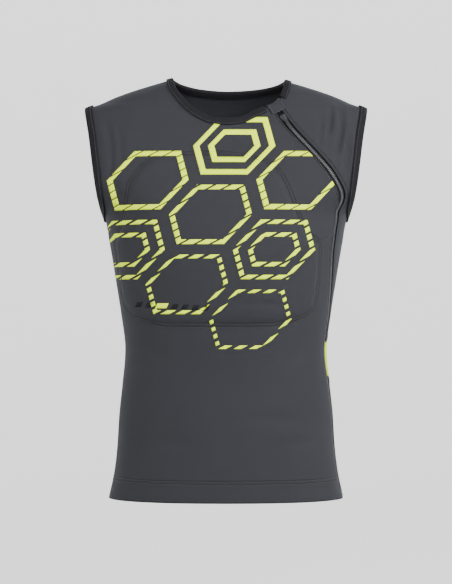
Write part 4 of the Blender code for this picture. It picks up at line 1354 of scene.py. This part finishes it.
seam_paths, strips = [], []
for label, run in seam_runs().items():
    out = seam_out(run)
    along = np.gradient(run, axis=0)
    across = np.cross(out, along)
    across /= np.linalg.norm(across, axis=1, keepdims=True)
    seam_paths.append(Path(run + out * 0.00012, out, False))
    below, half = -(FABRIC + 0.0003), 0.0042
    strip = [run + across * a + out * below for a in (-half, -half / 3, half / 3, half)]
    strips.append((label, np.stack(strip, axis=0)))
stitches = bars_along("flatlock_stitching", seam_paths, FLATLOCK, GREY_THREAD)
for label, strip in strips:
    backing = cloth_piece(f"seam_backing_{label}", strip, GREY_KNIT, 0.0005)

# Chest protector.
# A flexible foam pad, 9 mm thick, moulded with rows of round holes so that it breathes, lies
# behind the front panel inside the stitched pocket.
PROTECTOR_THICKNESS = 0.009
PROTECTOR_CLEARANCE = 0.0022
HOLE_PITCH = 0.0085


def foam_finish():
    """Moulded dark foam with round breathing holes in staggered rows, coloured near black as
    painted shade inside them.
    """
    finish = Finish("moulded_foam")
    across, along = finish.cloth_place()
    holes = None
    for shift in (0.0, 0.5):
        u = (across / HOLE_PITCH + shift).maths("FRACT", across / HOLE_PITCH + shift) - 0.5
        row = HOLE_PITCH * math.sqrt(3)
        v = (along / row + shift).maths("FRACT", along / row + shift) - 0.5
        reach = ((u * u) + (v * v) * 3.0) ** 0.5
        hole = reach.ramp(0.24, 0.19)
        holes = hole if holes is None else holes.maths("MAXIMUM", holes, hole)
    grain = finish.noise(700.0, 3.0)
    colour = finish.blend(grain, (0.024, 0.025, 0.028, 1), (0.040, 0.041, 0.046, 1))
    return finish.done(
        # Painted shade: the breathing holes are drawn only in the colour and the bump, coloured
        # near black where shadow would fill them.
        Base_Color=finish.blend(holes, colour, (0.004, 0.004, 0.005, 1)),
        Roughness=0.88 - 0.1 * grain,
        Normal=finish.bump(grain * 0.00012 - holes * 0.0012),
    )


pad_levels = np.linspace(PROTECTOR[-1].level, PROTECTOR[0].level, 70)
pad_rows = []
for level in pad_levels:
    shares = (smooth_through(PROTECTOR, name, level) for name in ("right", "left"))
    right, left = (half_width(level) * share for share in shares)
    turn = turn_across(level, np.linspace(right, left, 80), 1)
    normal = outward(np.full(80, level), turn)
    pad_rows.append(body_point(level, turn) - normal * (FABRIC + PROTECTOR_CLEARANCE))
pad_grid = np.array(pad_rows)
pad = cloth_piece("foam_chest_protector", pad_grid, foam_finish(), PROTECTOR_THICKNESS)
rim = pad.vertex_groups.new(name="full thickness")
edge_distance = -signed_distance(pad_grid, POCKET).ravel()
for i, thick in enumerate(ease(edge_distance / 0.014) * 0.72 + 0.28):
    rim.add([i], float(thick), "REPLACE")
pad.modifiers["fabric thickness"].vertex_group = rim.name
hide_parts("chest_protector")

# Zip.
# A nylon coil zip on two woven black tapes, sewn behind the front and side panels. It runs
# from the collar over the left chest and down the left side, and is closed.
TAPE_THICKNESS = 0.0008
TAPE_START = 0.0080
TAPE_UNDERLAP = 0.0055
TAPE_MIDDLE_GAP = 0.0010
TAPE_CLEARANCE = 0.0013
CHAIN_WIDTH = 0.0056
CHAIN_HEIGHT = 0.0021
SLIDER_FROM_COLLAR = 0.0245
SLIDER_LENGTH = 0.0110
END_BOX_LENGTH = 0.0090
CLEARANCE = 0.0004
zip_along = arc_lengths(ZIP.points[ZIP_START:])
zip_length = float(np.interp(LENGTH, -ZIP.points[ZIP_START:, 2], zip_along))


def on_zip(source, places):
    """Values of the zip's line at lengths below the collar's edge."""
    run = source[ZIP_START:]
    return np.stack([np.interp(places, zip_along, run[:, k]) for k in range(3)], axis=-1)


def tape_finish():
    """Tightly woven black tape with a herringbone twill."""
    finish = Finish("woven_zip_tape")
    across, along = finish.cloth_place()
    zigzag = abs((across / 0.0024).maths("FRACT", across / 0.0024) - 0.5)
    twill = ((along + zigzag * 0.0024) * (2 * math.pi / 0.0008)).wave()
    fuzz = finish.noise(500.0, 2.0)
    return finish.done(
        Base_Color=finish.blend(fuzz, (0.0025, 0.0025, 0.0035, 1), (0.0060, 0.0060, 0.0075, 1)),
        Roughness=0.80 - 0.1 * fuzz,
        Specular_IOR_Level=0.15,
        Normal=finish.bump(twill * 0.00005),
    )


ZIP_TAPE = tape_finish()
tape_places = np.linspace(TAPE_START, zip_length - CLEARANCE, 240)
tape_top = -(FABRIC + TAPE_CLEARANCE)
for label, side in (("front", -1), ("side", 1)):
    offsets = np.linspace(TAPE_MIDDLE_GAP / 2, ZIP_OPENING / 2 + TAPE_UNDERLAP, 9)
    centre, out = on_zip(ZIP.points, tape_places), on_zip(ZIP.across, tape_places)
    columns = [on_body(centre + out * side * a, tape_top) for a in offsets]
    tape_grid = np.stack(columns if side > 0 else columns[::-1], axis=1)[::-1]
    tape = cloth_piece(f"woven_tape_{label}", tape_grid, ZIP_TAPE, TAPE_THICKNESS)
    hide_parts(f"zip_tape_{label}")


def coil_finish():
    """Dark nylon coil with painted highlights: lighter grey noise spots stand in for glints on its
    turns, and are a little glossier.
    """
    finish = Finish("nylon_coil")
    painted_glint_noise = finish.noise(350.0, 2.0)
    return finish.done(
        # Painted highlight: the noise lightens the black nylon to grey in spots, standing in for
        # glints.
        Base_Color=finish.blend(painted_glint_noise, (0.020, 0.020, 0.024, 1), (0.150, 0.152, 0.165, 1)),
        Roughness=0.34 - 0.1 * painted_glint_noise,
        Specular_IOR_Level=0.6,
    )


COIL = {
    "Pitch": 0.00125,
    "Bar start": -0.0008,
    "Bar end": CHAIN_WIDTH / 2 - 0.0003,
    "Thread radius": 0.00046,
    "Rise": 0.0006,
    "Turn": 0.0,
    "Alternate turn": math.pi / 2,
}
chain_start = SLIDER_FROM_COLLAR - SLIDER_LENGTH / 2 + 2 * CLEARANCE
chain_end = zip_length - END_BOX_LENGTH - 3 * CLEARANCE
chain_places = np.linspace(chain_start, chain_end, 500)
coil_floor = tape_top + CLEARANCE + 0.00046
coil_points = on_body(on_zip(ZIP.points, chain_places), coil_floor + 0.0006)
coil_out = on_zip(ZIP.normal, chain_places)
coil_out /= np.linalg.norm(coil_out, axis=1, keepdims=True)
COIL_NYLON = coil_finish()
coil = bars_along("zip_coil", [Path(coil_points, coil_out, False)], COIL, COIL_NYLON)
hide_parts("zip_chain")
# Two woven cords run inside the coil and close the view through it
CORD_OFFSET, CORD_LIFT, CORD_HALF_WIDTH, CORD_HALF_HEIGHT = 0.0015, 0.0003, 0.0009, 0.0005
for label, side in (("front", -1), ("side", 1)):
    ring_across = on_zip(ZIP.across, chain_places)
    centre = on_zip(ZIP.points, chain_places) + ring_across * side * CORD_OFFSET
    middle = on_body(centre, coil_floor + CORD_LIFT)
    wide, high = ring_across * CORD_HALF_WIDTH, coil_out * CORD_HALF_HEIGHT
    angles = np.linspace(0, 2 * math.pi, 9)[:-1]
    rings = [middle + wide * math.cos(a) + high * math.sin(a) for a in angles]
    core = lofted(f"coil_core_{label}", np.stack(rings, axis=1), False, ZIP_TAPE)

# Slider, pull tab and end box.
# The slider is black enamelled zinc with a crown over its plate; the flat tab hangs from a bar
# under the crown. A small moulded box holds the zip's two halves together at the hem.
SLIDER_WIDTH = 0.0088
SLIDER_PLATE = 0.0012
CROWN_LENGTH = 0.0068
CROWN_WIDTH = 0.0014
CROWN_BAR = 0.0008
HAIR = 0.00002
PULLER_LENGTH = 0.0210
PULLER_WIDTH = 0.0052
PULLER_THICKNESS = 0.0010
PULLER_BAR = 0.0009
SLIDER_FLOOR = tape_top + CLEARANCE
CHAIN_TOP = SLIDER_FLOOR + CHAIN_HEIGHT
SLIDER_TOP = CHAIN_TOP + 1.5 * CLEARANCE + SLIDER_PLATE
HINGE_HEIGHT = SLIDER_TOP + CLEARANCE + PULLER_THICKNESS / 2
CROWN_UNDER = HINGE_HEIGHT + PULLER_BAR / 2 + CLEARANCE


def zip_matrix(place):
    """The local frame at a length below the collar: X across, Y up the zip, Z out of the fabric."""
    before, at, after = on_zip(ZIP.points, np.array([place - 0.001, place, place + 0.001]))
    up = unit(before - after)
    normal = on_zip(ZIP.normal, np.array([place]))[0]
    normal = unit(normal - up * np.dot(normal, up))
    matrix = Matrix.Identity(4)
    for k, axis in enumerate((np.cross(up, normal), up, normal)):
        matrix.col[k][:3] = axis
    matrix.translation = Vector(at)
    return matrix


def prism(shape, outline, low, high):
    """Adds an outline in the zip's plane, drawn out from low to high, to a bmesh."""
    floor = [shape.verts.new((x, y, low)) for x, y in outline]
    made = shape.faces.new(floor)
    drawn = bmesh.ops.extrude_face_region(shape, geom=[made])["geom"]
    top = [v for v in drawn if isinstance(v, bmesh.types.BMVert)]
    bmesh.ops.translate(shape, vec=(0, 0, high - low), verts=top)
    bmesh.ops.recalc_face_normals(shape, faces=shape.faces)


def mirrored_outline(points):
    """A closed outline from its right half, listed from bottom to top."""
    return [*points, *[(-x, y) for x, y in reversed(points) if x > 0]]


def enamel_finish():
    """Black enamel over cast zinc, rubbed grey along its edges."""
    finish = Finish("black_enamelled_zinc")
    pointed = finish.add("ShaderNodeNewGeometry").output("Pointiness")
    rubbed = pointed.ramp(0.52, 0.62) * finish.noise(900.0, 3.0).ramp(0.35, 0.65)
    return finish.done(
        Base_Color=finish.blend(rubbed, (0.010, 0.010, 0.012, 1), (0.16, 0.16, 0.17, 1)),
        Metallic=0.3 + 0.6 * rubbed,
        Roughness=0.34 - 0.08 * rubbed,
        Specular_IOR_Level=0.5,
    )


ENAMEL = enamel_finish()


def hard_piece(name, shape, matrix, body, bevel):
    """A cast piece, placed in its mesh and with its edges rounded."""
    mesh = bpy.data.meshes.new(name)
    shape.to_mesh(mesh)
    shape.free()
    mesh.transform(matrix)
    made = add_piece(name, mesh, ENAMEL, body, math.radians(35))
    rounded = made.modifiers.new("rounded edges", "BEVEL")
    rounded.width = bevel
    rounded.segments = 2
    rounded.limit_method = "ANGLE"
    rounded.angle_limit = math.radians(40)
    return made


slider_matrix = zip_matrix(SLIDER_FROM_COLLAR)
half = SLIDER_LENGTH / 2
wide = SLIDER_WIDTH / 2
slider_shape = bmesh.new()
PlatePoint = namedtuple("PlatePoint", "across along")
PLATE = (
    PlatePoint(0.0, -1.0),
    PlatePoint(0.62, -1.0),
    PlatePoint(1.0, -0.1),
    PlatePoint(1.0, 0.62),
    PlatePoint(0.55, 1.0),
    PlatePoint(0.0, 0.86),
)
LIP = (
    PlatePoint(0.76, -0.8),
    PlatePoint(0.98, -0.1),
    PlatePoint(0.98, 0.6),
    PlatePoint(0.78, 0.66),
)
plate = mirrored_outline([(row.across * wide, row.along * half) for row in PLATE])
prism(slider_shape, plate, SLIDER_TOP - SLIDER_PLATE, SLIDER_TOP)
for side in (-1, 1):
    lip = [(side * (row.across * wide), row.along * half) for row in LIP]
    prism(slider_shape, lip, SLIDER_FLOOR, SLIDER_TOP - SLIDER_PLATE - HAIR)
crown_half = CROWN_LENGTH / 2
# The crown's outline, as distance along the slider and height
crown_foot = SLIDER_TOP + HAIR
crown_ledge = CROWN_UNDER - 0.1 * CROWN_BAR
crown_side = [
    (-crown_half, crown_foot),
    (-crown_half, CROWN_UNDER + 0.3 * CROWN_BAR),
    (-0.6 * crown_half, CROWN_UNDER + CROWN_BAR),
    (0.6 * crown_half, CROWN_UNDER + CROWN_BAR),
    (crown_half, CROWN_UNDER + 0.3 * CROWN_BAR),
    (crown_half, crown_foot),
    (crown_half - CROWN_BAR, crown_foot),
    (crown_half - CROWN_BAR, crown_ledge),
    (-crown_half + CROWN_BAR, crown_ledge),
    (-crown_half + CROWN_BAR, crown_foot),
]
crown_shape = bmesh.new()
prism(crown_shape, crown_side, -CROWN_WIDTH / 2, CROWN_WIDTH / 2)
# The crown's outline was drawn along Y and Z, so it is stood up before it joins the plate
stood_up = Matrix(((0, 0, 1, 0), (1, 0, 0, 0), (0, 1, 0, 0), (0, 0, 0, 1)))
bmesh.ops.transform(crown_shape, matrix=stood_up, verts=crown_shape.verts)
crown_mesh = bpy.data.meshes.new("crown")
crown_shape.to_mesh(crown_mesh)
crown_shape.free()
slider_shape.from_mesh(crown_mesh)
slider = hard_piece("enamelled_slider", slider_shape, slider_matrix, BODY_OF_VEST, 0.00022)
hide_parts("zip_slider")

tab_shape = bmesh.new()
tab_half = PULLER_WIDTH / 2
window = CROWN_WIDTH / 2 + CLEARANCE
window_low = -CROWN_LENGTH / 2 - 2 * CLEARANCE
tip_y = -PULLER_LENGTH
prism(
    tab_shape,
    [
        (window, -PULLER_BAR / 2), (window, window_low), (0.0, window_low), (0.0, tip_y),
        (0.62 * tab_half, tip_y), (tab_half, tip_y + 0.0016), (0.8 * tab_half, -0.0090),
        (tab_half, -0.0050), (tab_half, -0.2 * PULLER_BAR), (0.8 * tab_half, PULLER_BAR / 2),
        (0.0, PULLER_BAR / 2), (0.0, -PULLER_BAR / 2),
    ],
    -PULLER_THICKNESS / 2,
    PULLER_THICKNESS / 2,
)
whole_tab = tab_shape.faces[:] + tab_shape.edges[:] + tab_shape.verts[:]
bmesh.ops.mirror(tab_shape, geom=whole_tab, axis="X", merge_dist=1e-6)
middle_faces = [f for f in tab_shape.faces if all(abs(v.co.x) < 1e-7 for v in f.verts)]
bmesh.ops.delete(tab_shape, geom=middle_faces, context="FACES_ONLY")
bmesh.ops.remove_doubles(tab_shape, verts=tab_shape.verts, dist=1e-6)
bmesh.ops.recalc_face_normals(tab_shape, faces=tab_shape.faces)
hinge = slider_matrix @ Matrix.Translation((0.0, 0.0, HINGE_HEIGHT))
tab = hard_piece("enamelled_pull_tab", tab_shape, hinge, "puller", 0.00018)
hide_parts("zip_puller")

box_half = ZIP_OPENING / 2 - 2 * CLEARANCE
box_shape = bmesh.new()
long = END_BOX_LENGTH / 2
BOX = (
    PlatePoint(0.0, -1.0),
    PlatePoint(0.9, -1.0),
    PlatePoint(1.0, -0.6),
    PlatePoint(1.0, 0.55),
    PlatePoint(0.75, 1.0),
    PlatePoint(0.0, 1.0),
)
box_outline = mirrored_outline([(row.across * box_half, row.along * long) for row in BOX])
prism(box_shape, box_outline, SLIDER_FLOOR, CHAIN_TOP + CLEARANCE)
end_matrix = zip_matrix(zip_length - END_BOX_LENGTH / 2 - CLEARANCE)
end_box = hard_piece("moulded_end_box", box_shape, end_matrix, BODY_OF_VEST, 0.0003)
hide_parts("zip_end_box")

# Zip garage.
# A soft tab of grey knit, folded over the collar's edge above the slider and sewn down on both
# sides, so that the zip's end doesn't rub the neck.
GARAGE_REACH = 0.0150
GARAGE_CLEARANCE = 0.0007
GARAGE_OVER = 0.0035
GARAGE_WALL = 0.0010
collar_xs = np.linspace(0.5 * zip_top[0], NECK_LEFT - CLEARANCE, FINE)
collar_levels = np.array([top_level(float(x), 1) for x in collar_xs])
collar_edge = body_point(collar_levels, turn_across(collar_levels, collar_xs, 1))
collar_along = arc_lengths(collar_edge)
garage_middle = np.interp(zip_top[0], collar_xs, collar_along)
garage_down = -np.array(zip_matrix(0.002).col[1][:3])
front_lift = GARAGE_CLEARANCE + GARAGE_WALL
behind = -(FABRIC + TAPE_CLEARANCE + TAPE_THICKNESS + front_lift)
GarageRow = namedtuple("GarageRow", "down out")
GARAGE_PROFILE = (
    GarageRow(GARAGE_REACH, front_lift * 0.75),
    GarageRow(GARAGE_REACH * 0.92, front_lift * 1.10),
    GarageRow(GARAGE_REACH * 0.5, front_lift * 1.15),
    GarageRow(0.0, front_lift * 1.05),
    GarageRow(-GARAGE_OVER * 0.75, front_lift * 0.4),
    GarageRow(-GARAGE_OVER, (front_lift + behind) / 2),
    GarageRow(-GARAGE_OVER * 0.75, behind * 0.9),
    GarageRow(0.0, behind),
    GarageRow(GARAGE_REACH * 0.5, behind),
    GarageRow(GARAGE_REACH, behind),
)
garage_table = np.array(GARAGE_PROFILE)
garage_curve = np.stack([finer(garage_table[:, k], 5) for k in range(2)], axis=1)
kernel = np.hanning(7) / np.hanning(7).sum()
softened = [np.convolve(np.pad(row, 3, "edge"), kernel, "valid") for row in garage_curve.T]
garage_curve = np.stack(softened, axis=1)
garage_rows = []
for down, out in garage_curve:
    places = garage_middle + np.linspace(-0.5, 0.5, 27) * GARAGE_WIDTH
    tops = np.stack([np.interp(places, collar_along, collar_edge[:, k]) for k in range(3)], axis=1)
    ripple = 0.00018 * np.cos(np.linspace(-1, 1, 27) * 5.0) * (out > 0)
    lifted = [on_body(top + garage_down * down, out + bend) for top, bend in zip(tops, ripple)]
    garage_rows.append(lifted)
garage_grid = np.array(garage_rows)
garage = cloth_piece("zip_garage_tab", garage_grid, GREY_KNIT, GARAGE_WALL)
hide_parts("zip_garage")
garage_out = grid_normals(garage_grid)
THREAD_LIFT = 0.0001
garage_top = garage_grid + garage_out * THREAD_LIFT
garage_runs = [Path(garage_top[1:16, k], garage_out[1:16, k], False) for k in (2, -3)]
garage_runs.append(Path(garage_top[2, 2:-2], garage_out[2, 2:-2], False))
SHORT_STITCH = {**STITCH, "Pitch": 0.0026, "Bar start": -0.001, "Bar end": 0.001}
stitches = bars_along("garage_stitching", garage_runs, SHORT_STITCH, GREY_THREAD)

# Chest print.
# A lime transfer film, pressed on the knit: slanting long hexagons whose outlines are whole
# near the collar and break into ever thinner slanting dashes towards the waist.
PRINT_SLANT = 0.34
PRINT_HALF_LENGTH = 0.060
PRINT_HALF_FLAT = 0.034
PRINT_HALF_HEIGHT = 0.043
PRINT_GAP = 0.015
DASH_ANGLE = math.radians(28)
DASH_PITCH = 0.0104
PRINT_LIFT = 0.00038
FILM = 0.00030
PRINT_CELL = 0.004
PrintCell = namedtuple("PrintCell", "column row rings")
PRINT_CELLS = (
    PrintCell(-1, 0, 1),
    PrintCell(0, 0, 2),
    PrintCell(1, 0, 1),
    PrintCell(-1, 1, 2),
    PrintCell(0, 1, 1),
    PrintCell(1, 1, 2),
    PrintCell(0, 2, 1),
    PrintCell(1, 2, 1),
)
PRINT_ORIGIN = (0.012, -0.105)


def hexagon(centre, inset):
    """A long hexagon, drawn in by an inset and slanted."""
    side = np.array([PRINT_HALF_LENGTH - PRINT_HALF_FLAT, PRINT_HALF_HEIGHT])
    high = PRINT_HALF_HEIGHT - inset
    end = PRINT_HALF_LENGTH - inset * np.linalg.norm(side) / PRINT_HALF_HEIGHT
    flat = end - side[0] * high / PRINT_HALF_HEIGHT
    corners = ((-end, 0), (-flat, high), (flat, high), (end, 0), (flat, -high), (-flat, -high))
    return [np.array([centre[0] + x + PRINT_SLANT * z, centre[1] + z]) for x, z in corners]


def cut(polygon, normal, offset):
    """The part of a convex polygon where normal . point is at least offset."""
    kept = []
    for i, point in enumerate(polygon):
        following = polygon[(i + 1) % len(polygon)]
        here, there = np.dot(normal, point) - offset, np.dot(normal, following) - offset
        if here >= 0:
            kept.append(point)
        if (here > 0 > there) or (here < 0 < there):
            kept.append(point + (following - point) * here / (here - there))
    return kept


def dashed(polygon, on_share):
    """A bar cut into slanting dashes."""
    across = np.array([-math.sin(DASH_ANGLE), math.cos(DASH_ANGLE)])
    phases = [np.dot(across, point) / DASH_PITCH for point in polygon]
    pieces = []
    for k in range(math.floor(min(phases)), math.ceil(max(phases))):
        piece = cut(polygon, across, k * DASH_PITCH)
        if len(piece) > 2:
            piece = cut(piece, -across, -(k + on_share) * DASH_PITCH)
        if len(piece) > 2:
            pieces.append(piece)
    return pieces


def diced(polygon):
    """A polygon cut along a square grid, so that it can bend over the chest."""
    pieces = [polygon]
    for axis in (np.array([1.0, 0.0]), np.array([0.0, 1.0])):
        divided = []
        for piece in pieces:
            reach = [np.dot(axis, point) / PRINT_CELL for point in piece]
            for k in range(math.floor(min(reach)), math.ceil(max(reach))):
                part = cut(piece, axis, k * PRINT_CELL)
                if len(part) > 2:
                    part = cut(part, -axis, -(k + 1) * PRINT_CELL)
                if len(part) > 2:
                    divided.append(part)
        pieces = divided
    return pieces


def edge_cutter():
    """Half planes that end the print at the collar and beside the zip."""
    zip_side = beside_line(ZIP, -(ZIP_OPENING / 2 + 0.0012))
    zip_side = zip_side[zip_side[:, 2] < -0.03][:, (0, 2)]
    zip_in = np.gradient(zip_side, axis=0)[:, ::-1] * np.array([1, -1])
    collar_side = smooth_front[-1, neck_column:][:, (0, 2)]
    collar_in = np.gradient(collar_side, axis=0)[:, ::-1] * np.array([1, -1])
    tables = []
    for line, inward, keep in ((zip_side, zip_in, 0.0), (collar_side, collar_in, 0.005)):
        inward = inward / np.linalg.norm(inward, axis=1, keepdims=True)
        inward *= np.sign(np.sum(inward * (np.array([0.0, -0.30]) - line)))
        tables.append((line, inward, keep))

    def clip(polygon):
        centre = np.mean(polygon, axis=0)
        for line, inward, keep in tables:
            nearest = int(np.argmin(np.sum((line - centre) ** 2, axis=1)))
            if len(polygon) > 2:
                offset = np.dot(inward[nearest], line[nearest]) + keep
                polygon = cut(polygon, inward[nearest], offset)
        return polygon

    return clip


def film_piece(name, polygons, finish):
    """Transfer film laid on the front panel, as a thin closed sheet."""
    clip = edge_cutter()
    shape = bmesh.new()
    for polygon in polygons:
        for part in diced(polygon):
            part = clip(part)
            if len(part) < 3:
                continue
            corners = []
            for x, z in part:
                hit = FRONT_SKIN.ray_cast(Vector((x, -0.4, z)), Vector((0, 1, 0)), 0.5)
                if hit[0] is not None:
                    level = -hit[0].z / LENGTH
                    normal = outward(level, turn_at(level, hit[0].x, hit[0].y))
                    corners.append(hit[0] + Vector(normal) * PRINT_LIFT)
            if len(corners) == len(part):
                shape.faces.new([shape.verts.new(corner) for corner in corners])
    bmesh.ops.remove_doubles(shape, verts=shape.verts, dist=2e-5)
    thin = [face for face in shape.faces if face.calc_area() < 1e-10]
    bmesh.ops.delete(shape, geom=thin, context="FACES")
    bmesh.ops.recalc_face_normals(shape, faces=shape.faces)
    for face in shape.faces:
        if face.normal.y > 0:
            face.normal_flip()
    mesh = bpy.data.meshes.new(name)
    shape.to_mesh(mesh)
    shape.free()
    made = add_piece(name, mesh, finish)
    film = made.modifiers.new("film", "SOLIDIFY")
    film.thickness = FILM
    film.offset = -1.0
    return made


def film_finish(name, dark, light):
    """Smooth screen-printed film with a fine speckle and a soft clouding in its colour."""
    finish = Finish(name)
    speckle = finish.noise(1400.0, 2.0)
    cloudy = finish.noise(14.0, 3.0)
    return finish.done(
        Base_Color=finish.blend(speckle * 0.6 + cloudy * 0.4, dark, light),
        Roughness=0.70 + 0.1 * speckle,
        Specular_IOR_Level=0.05,
        Normal=finish.bump(speckle * 0.00004),
    )


LIME_FILM = film_finish("lime_transfer_film", (0.66, 0.88, 0.0, 1), (0.78, 0.98, 0.0, 1))
film_polygons = []
for cell in PRINT_CELLS:
    step_x = PRINT_HALF_LENGTH + PRINT_HALF_FLAT + PRINT_GAP
    step_z = 2 * PRINT_HALF_HEIGHT + PRINT_GAP
    z = -step_z * (cell.row + (0.5 if cell.column % 2 else 0.0))
    x = PRINT_ORIGIN[0] + cell.column * step_x + PRINT_SLANT * z
    centre = np.array([x, PRINT_ORIGIN[1] + z])
    fade = float(np.clip((-centre[1] - 0.13) / 0.24, 0, 1))
    stroke = 0.0078 - 0.0030 * fade
    for ring in range(cell.rings):
        outer = hexagon(centre, ring * 0.0185)
        inner = hexagon(centre, ring * 0.0185 + stroke)
        for i in range(6):
            bar = [outer[i], outer[(i + 1) % 6], inner[(i + 1) % 6], inner[i]]
            if fade < 0.02:
                film_polygons.append(bar)
            else:
                film_polygons += dashed(bar, 0.90 - 0.42 * fade)
chest_print = film_piece("lime_chest_print", film_polygons, LIME_FILM)

# A short row of slanting chips stands low on the right of the chest, one of them lime
CHIP_HEIGHT = 0.0072
CHIP_ORIGIN = (-0.1330, -0.3400)
DARK_FILM = film_finish("dark_transfer_film", (0.008, 0.008, 0.010, 1), (0.018, 0.018, 0.021, 1))
chips = {"dark": [], "lime": []}
for k, length in enumerate((0.012, 0.012, 0.020, 0.012, 0.012, 0.012, 0.012)):
    start = CHIP_ORIGIN[0] + 0.0150 * k + (0.008 if k > 2 else 0.0)
    base = CHIP_ORIGIN[1] - 0.0008 * k
    corners = [(0, 0), (0.0035, CHIP_HEIGHT), (length, CHIP_HEIGHT), (length - 0.0035, 0)]
    chip = [np.array([start + x, base + z]) for x, z in corners]
    chips["lime" if k == 2 else "dark"].append(chip)
film_piece("dark_chip_print", chips["dark"], DARK_FILM)
film_piece("lime_chip_print", chips["lime"], LIME_FILM)

# Studio.
# A plain pale floor that sweeps up all round the vest, soft light from the wearer's left and
# above, and a long lens at the height of the vest's middle.
CAMERA_DISTANCE = 3.0
CAMERA_HEIGHT = -0.318
METRES_PER_PIXEL = 0.0015
FRAME_HEIGHT = 584
FLOOR_LEVEL = -1.10
FLOOR_RADIUS = 6.0
SWEEP_RADIUS = 2.5
profile = [(1.5, 0.0), (FLOOR_RADIUS, 0.0)]
profile += [
    (FLOOR_RADIUS + SWEEP_RADIUS * math.sin(a), SWEEP_RADIUS * (1 - math.cos(a)))
    for a in np.linspace(0.1, math.pi / 2, 14)
]
profile.append((FLOOR_RADIUS + SWEEP_RADIUS, 9.0))
FLOOR_SIDES = 96
floor_points = [
    (r * math.cos(a), r * math.sin(a), FLOOR_LEVEL + z)
    for r, z in profile
    for a in np.linspace(0, 2 * math.pi, FLOOR_SIDES, endpoint=False)
]
floor_faces = [
    (i + k, i + (k + 1) % FLOOR_SIDES, i + FLOOR_SIDES + (k + 1) % FLOOR_SIDES, i + FLOOR_SIDES + k)
    for i in range(0, (len(profile) - 1) * FLOOR_SIDES, FLOOR_SIDES)
    for k in range(FLOOR_SIDES)
]
floor_faces.append(tuple(range(FLOOR_SIDES)))
floor_mesh = bpy.data.meshes.new("studio_floor")
floor_mesh.from_pydata(floor_points, [], floor_faces)
floor_mesh.shade_smooth()
paper = Finish("white_paper")
grain = paper.noise(3.0, 2.0)
floor_mesh.materials.append(
    paper.done(
        Base_Color=paper.blend(grain, (0.90, 0.90, 0.90, 1), (0.93, 0.93, 0.93, 1)),
        Roughness=0.9,
        Emission_Color=(1.0, 1.0, 1.0, 1.0),
        Emission_Strength=0.55,
    )
)
floor = bpy.data.objects.new("studio_floor", floor_mesh)
bpy.context.scene.collection.objects.link(floor)

world = bpy.data.worlds.new("soft_studio")
world.use_nodes = True
world.node_tree.nodes["Background"].inputs["Color"].default_value = (1.0, 1.0, 1.0, 1.0)
world.node_tree.nodes["Background"].inputs["Strength"].default_value = 0.35
bpy.context.scene.world = world
Lamp = namedtuple("Lamp", "name place target size power")
LAMPS = (
    Lamp("key_softbox", (2.2, -1.9, 1.1), (0.05, 0.0, -0.25), 1.4, 110.0),
    Lamp("fill_softbox", (-2.4, -2.2, 0.6), (0.0, 0.0, -0.3), 2.2, 14.0),
    Lamp("front_softbox", (0.3, -2.6, 0.7), (0.0, 0.0, -0.1), 0.9, 30.0),
)
for lamp in LAMPS:
    light = bpy.data.lights.new(lamp.name, "AREA")
    light.energy = lamp.power
    light.size = lamp.size
    holder = bpy.data.objects.new(lamp.name, light)
    holder.location = lamp.place
    aim = Vector(lamp.target) - Vector(lamp.place)
    holder.rotation_euler = aim.to_track_quat("-Z", "Y").to_euler()
    bpy.context.scene.collection.objects.link(holder)

camera_data = bpy.data.cameras.new("camera")
camera_data.sensor_width = 36.0
camera_data.lens = 36.0 * CAMERA_DISTANCE / (FRAME_HEIGHT * METRES_PER_PIXEL)
camera = bpy.data.objects.new("camera", camera_data)
camera.location = (0.0, -CAMERA_DISTANCE, CAMERA_HEIGHT)
camera.rotation_euler = (math.pi / 2, 0.0, 0.0)
bpy.context.scene.collection.objects.link(camera)
bpy.context.scene.camera = camera
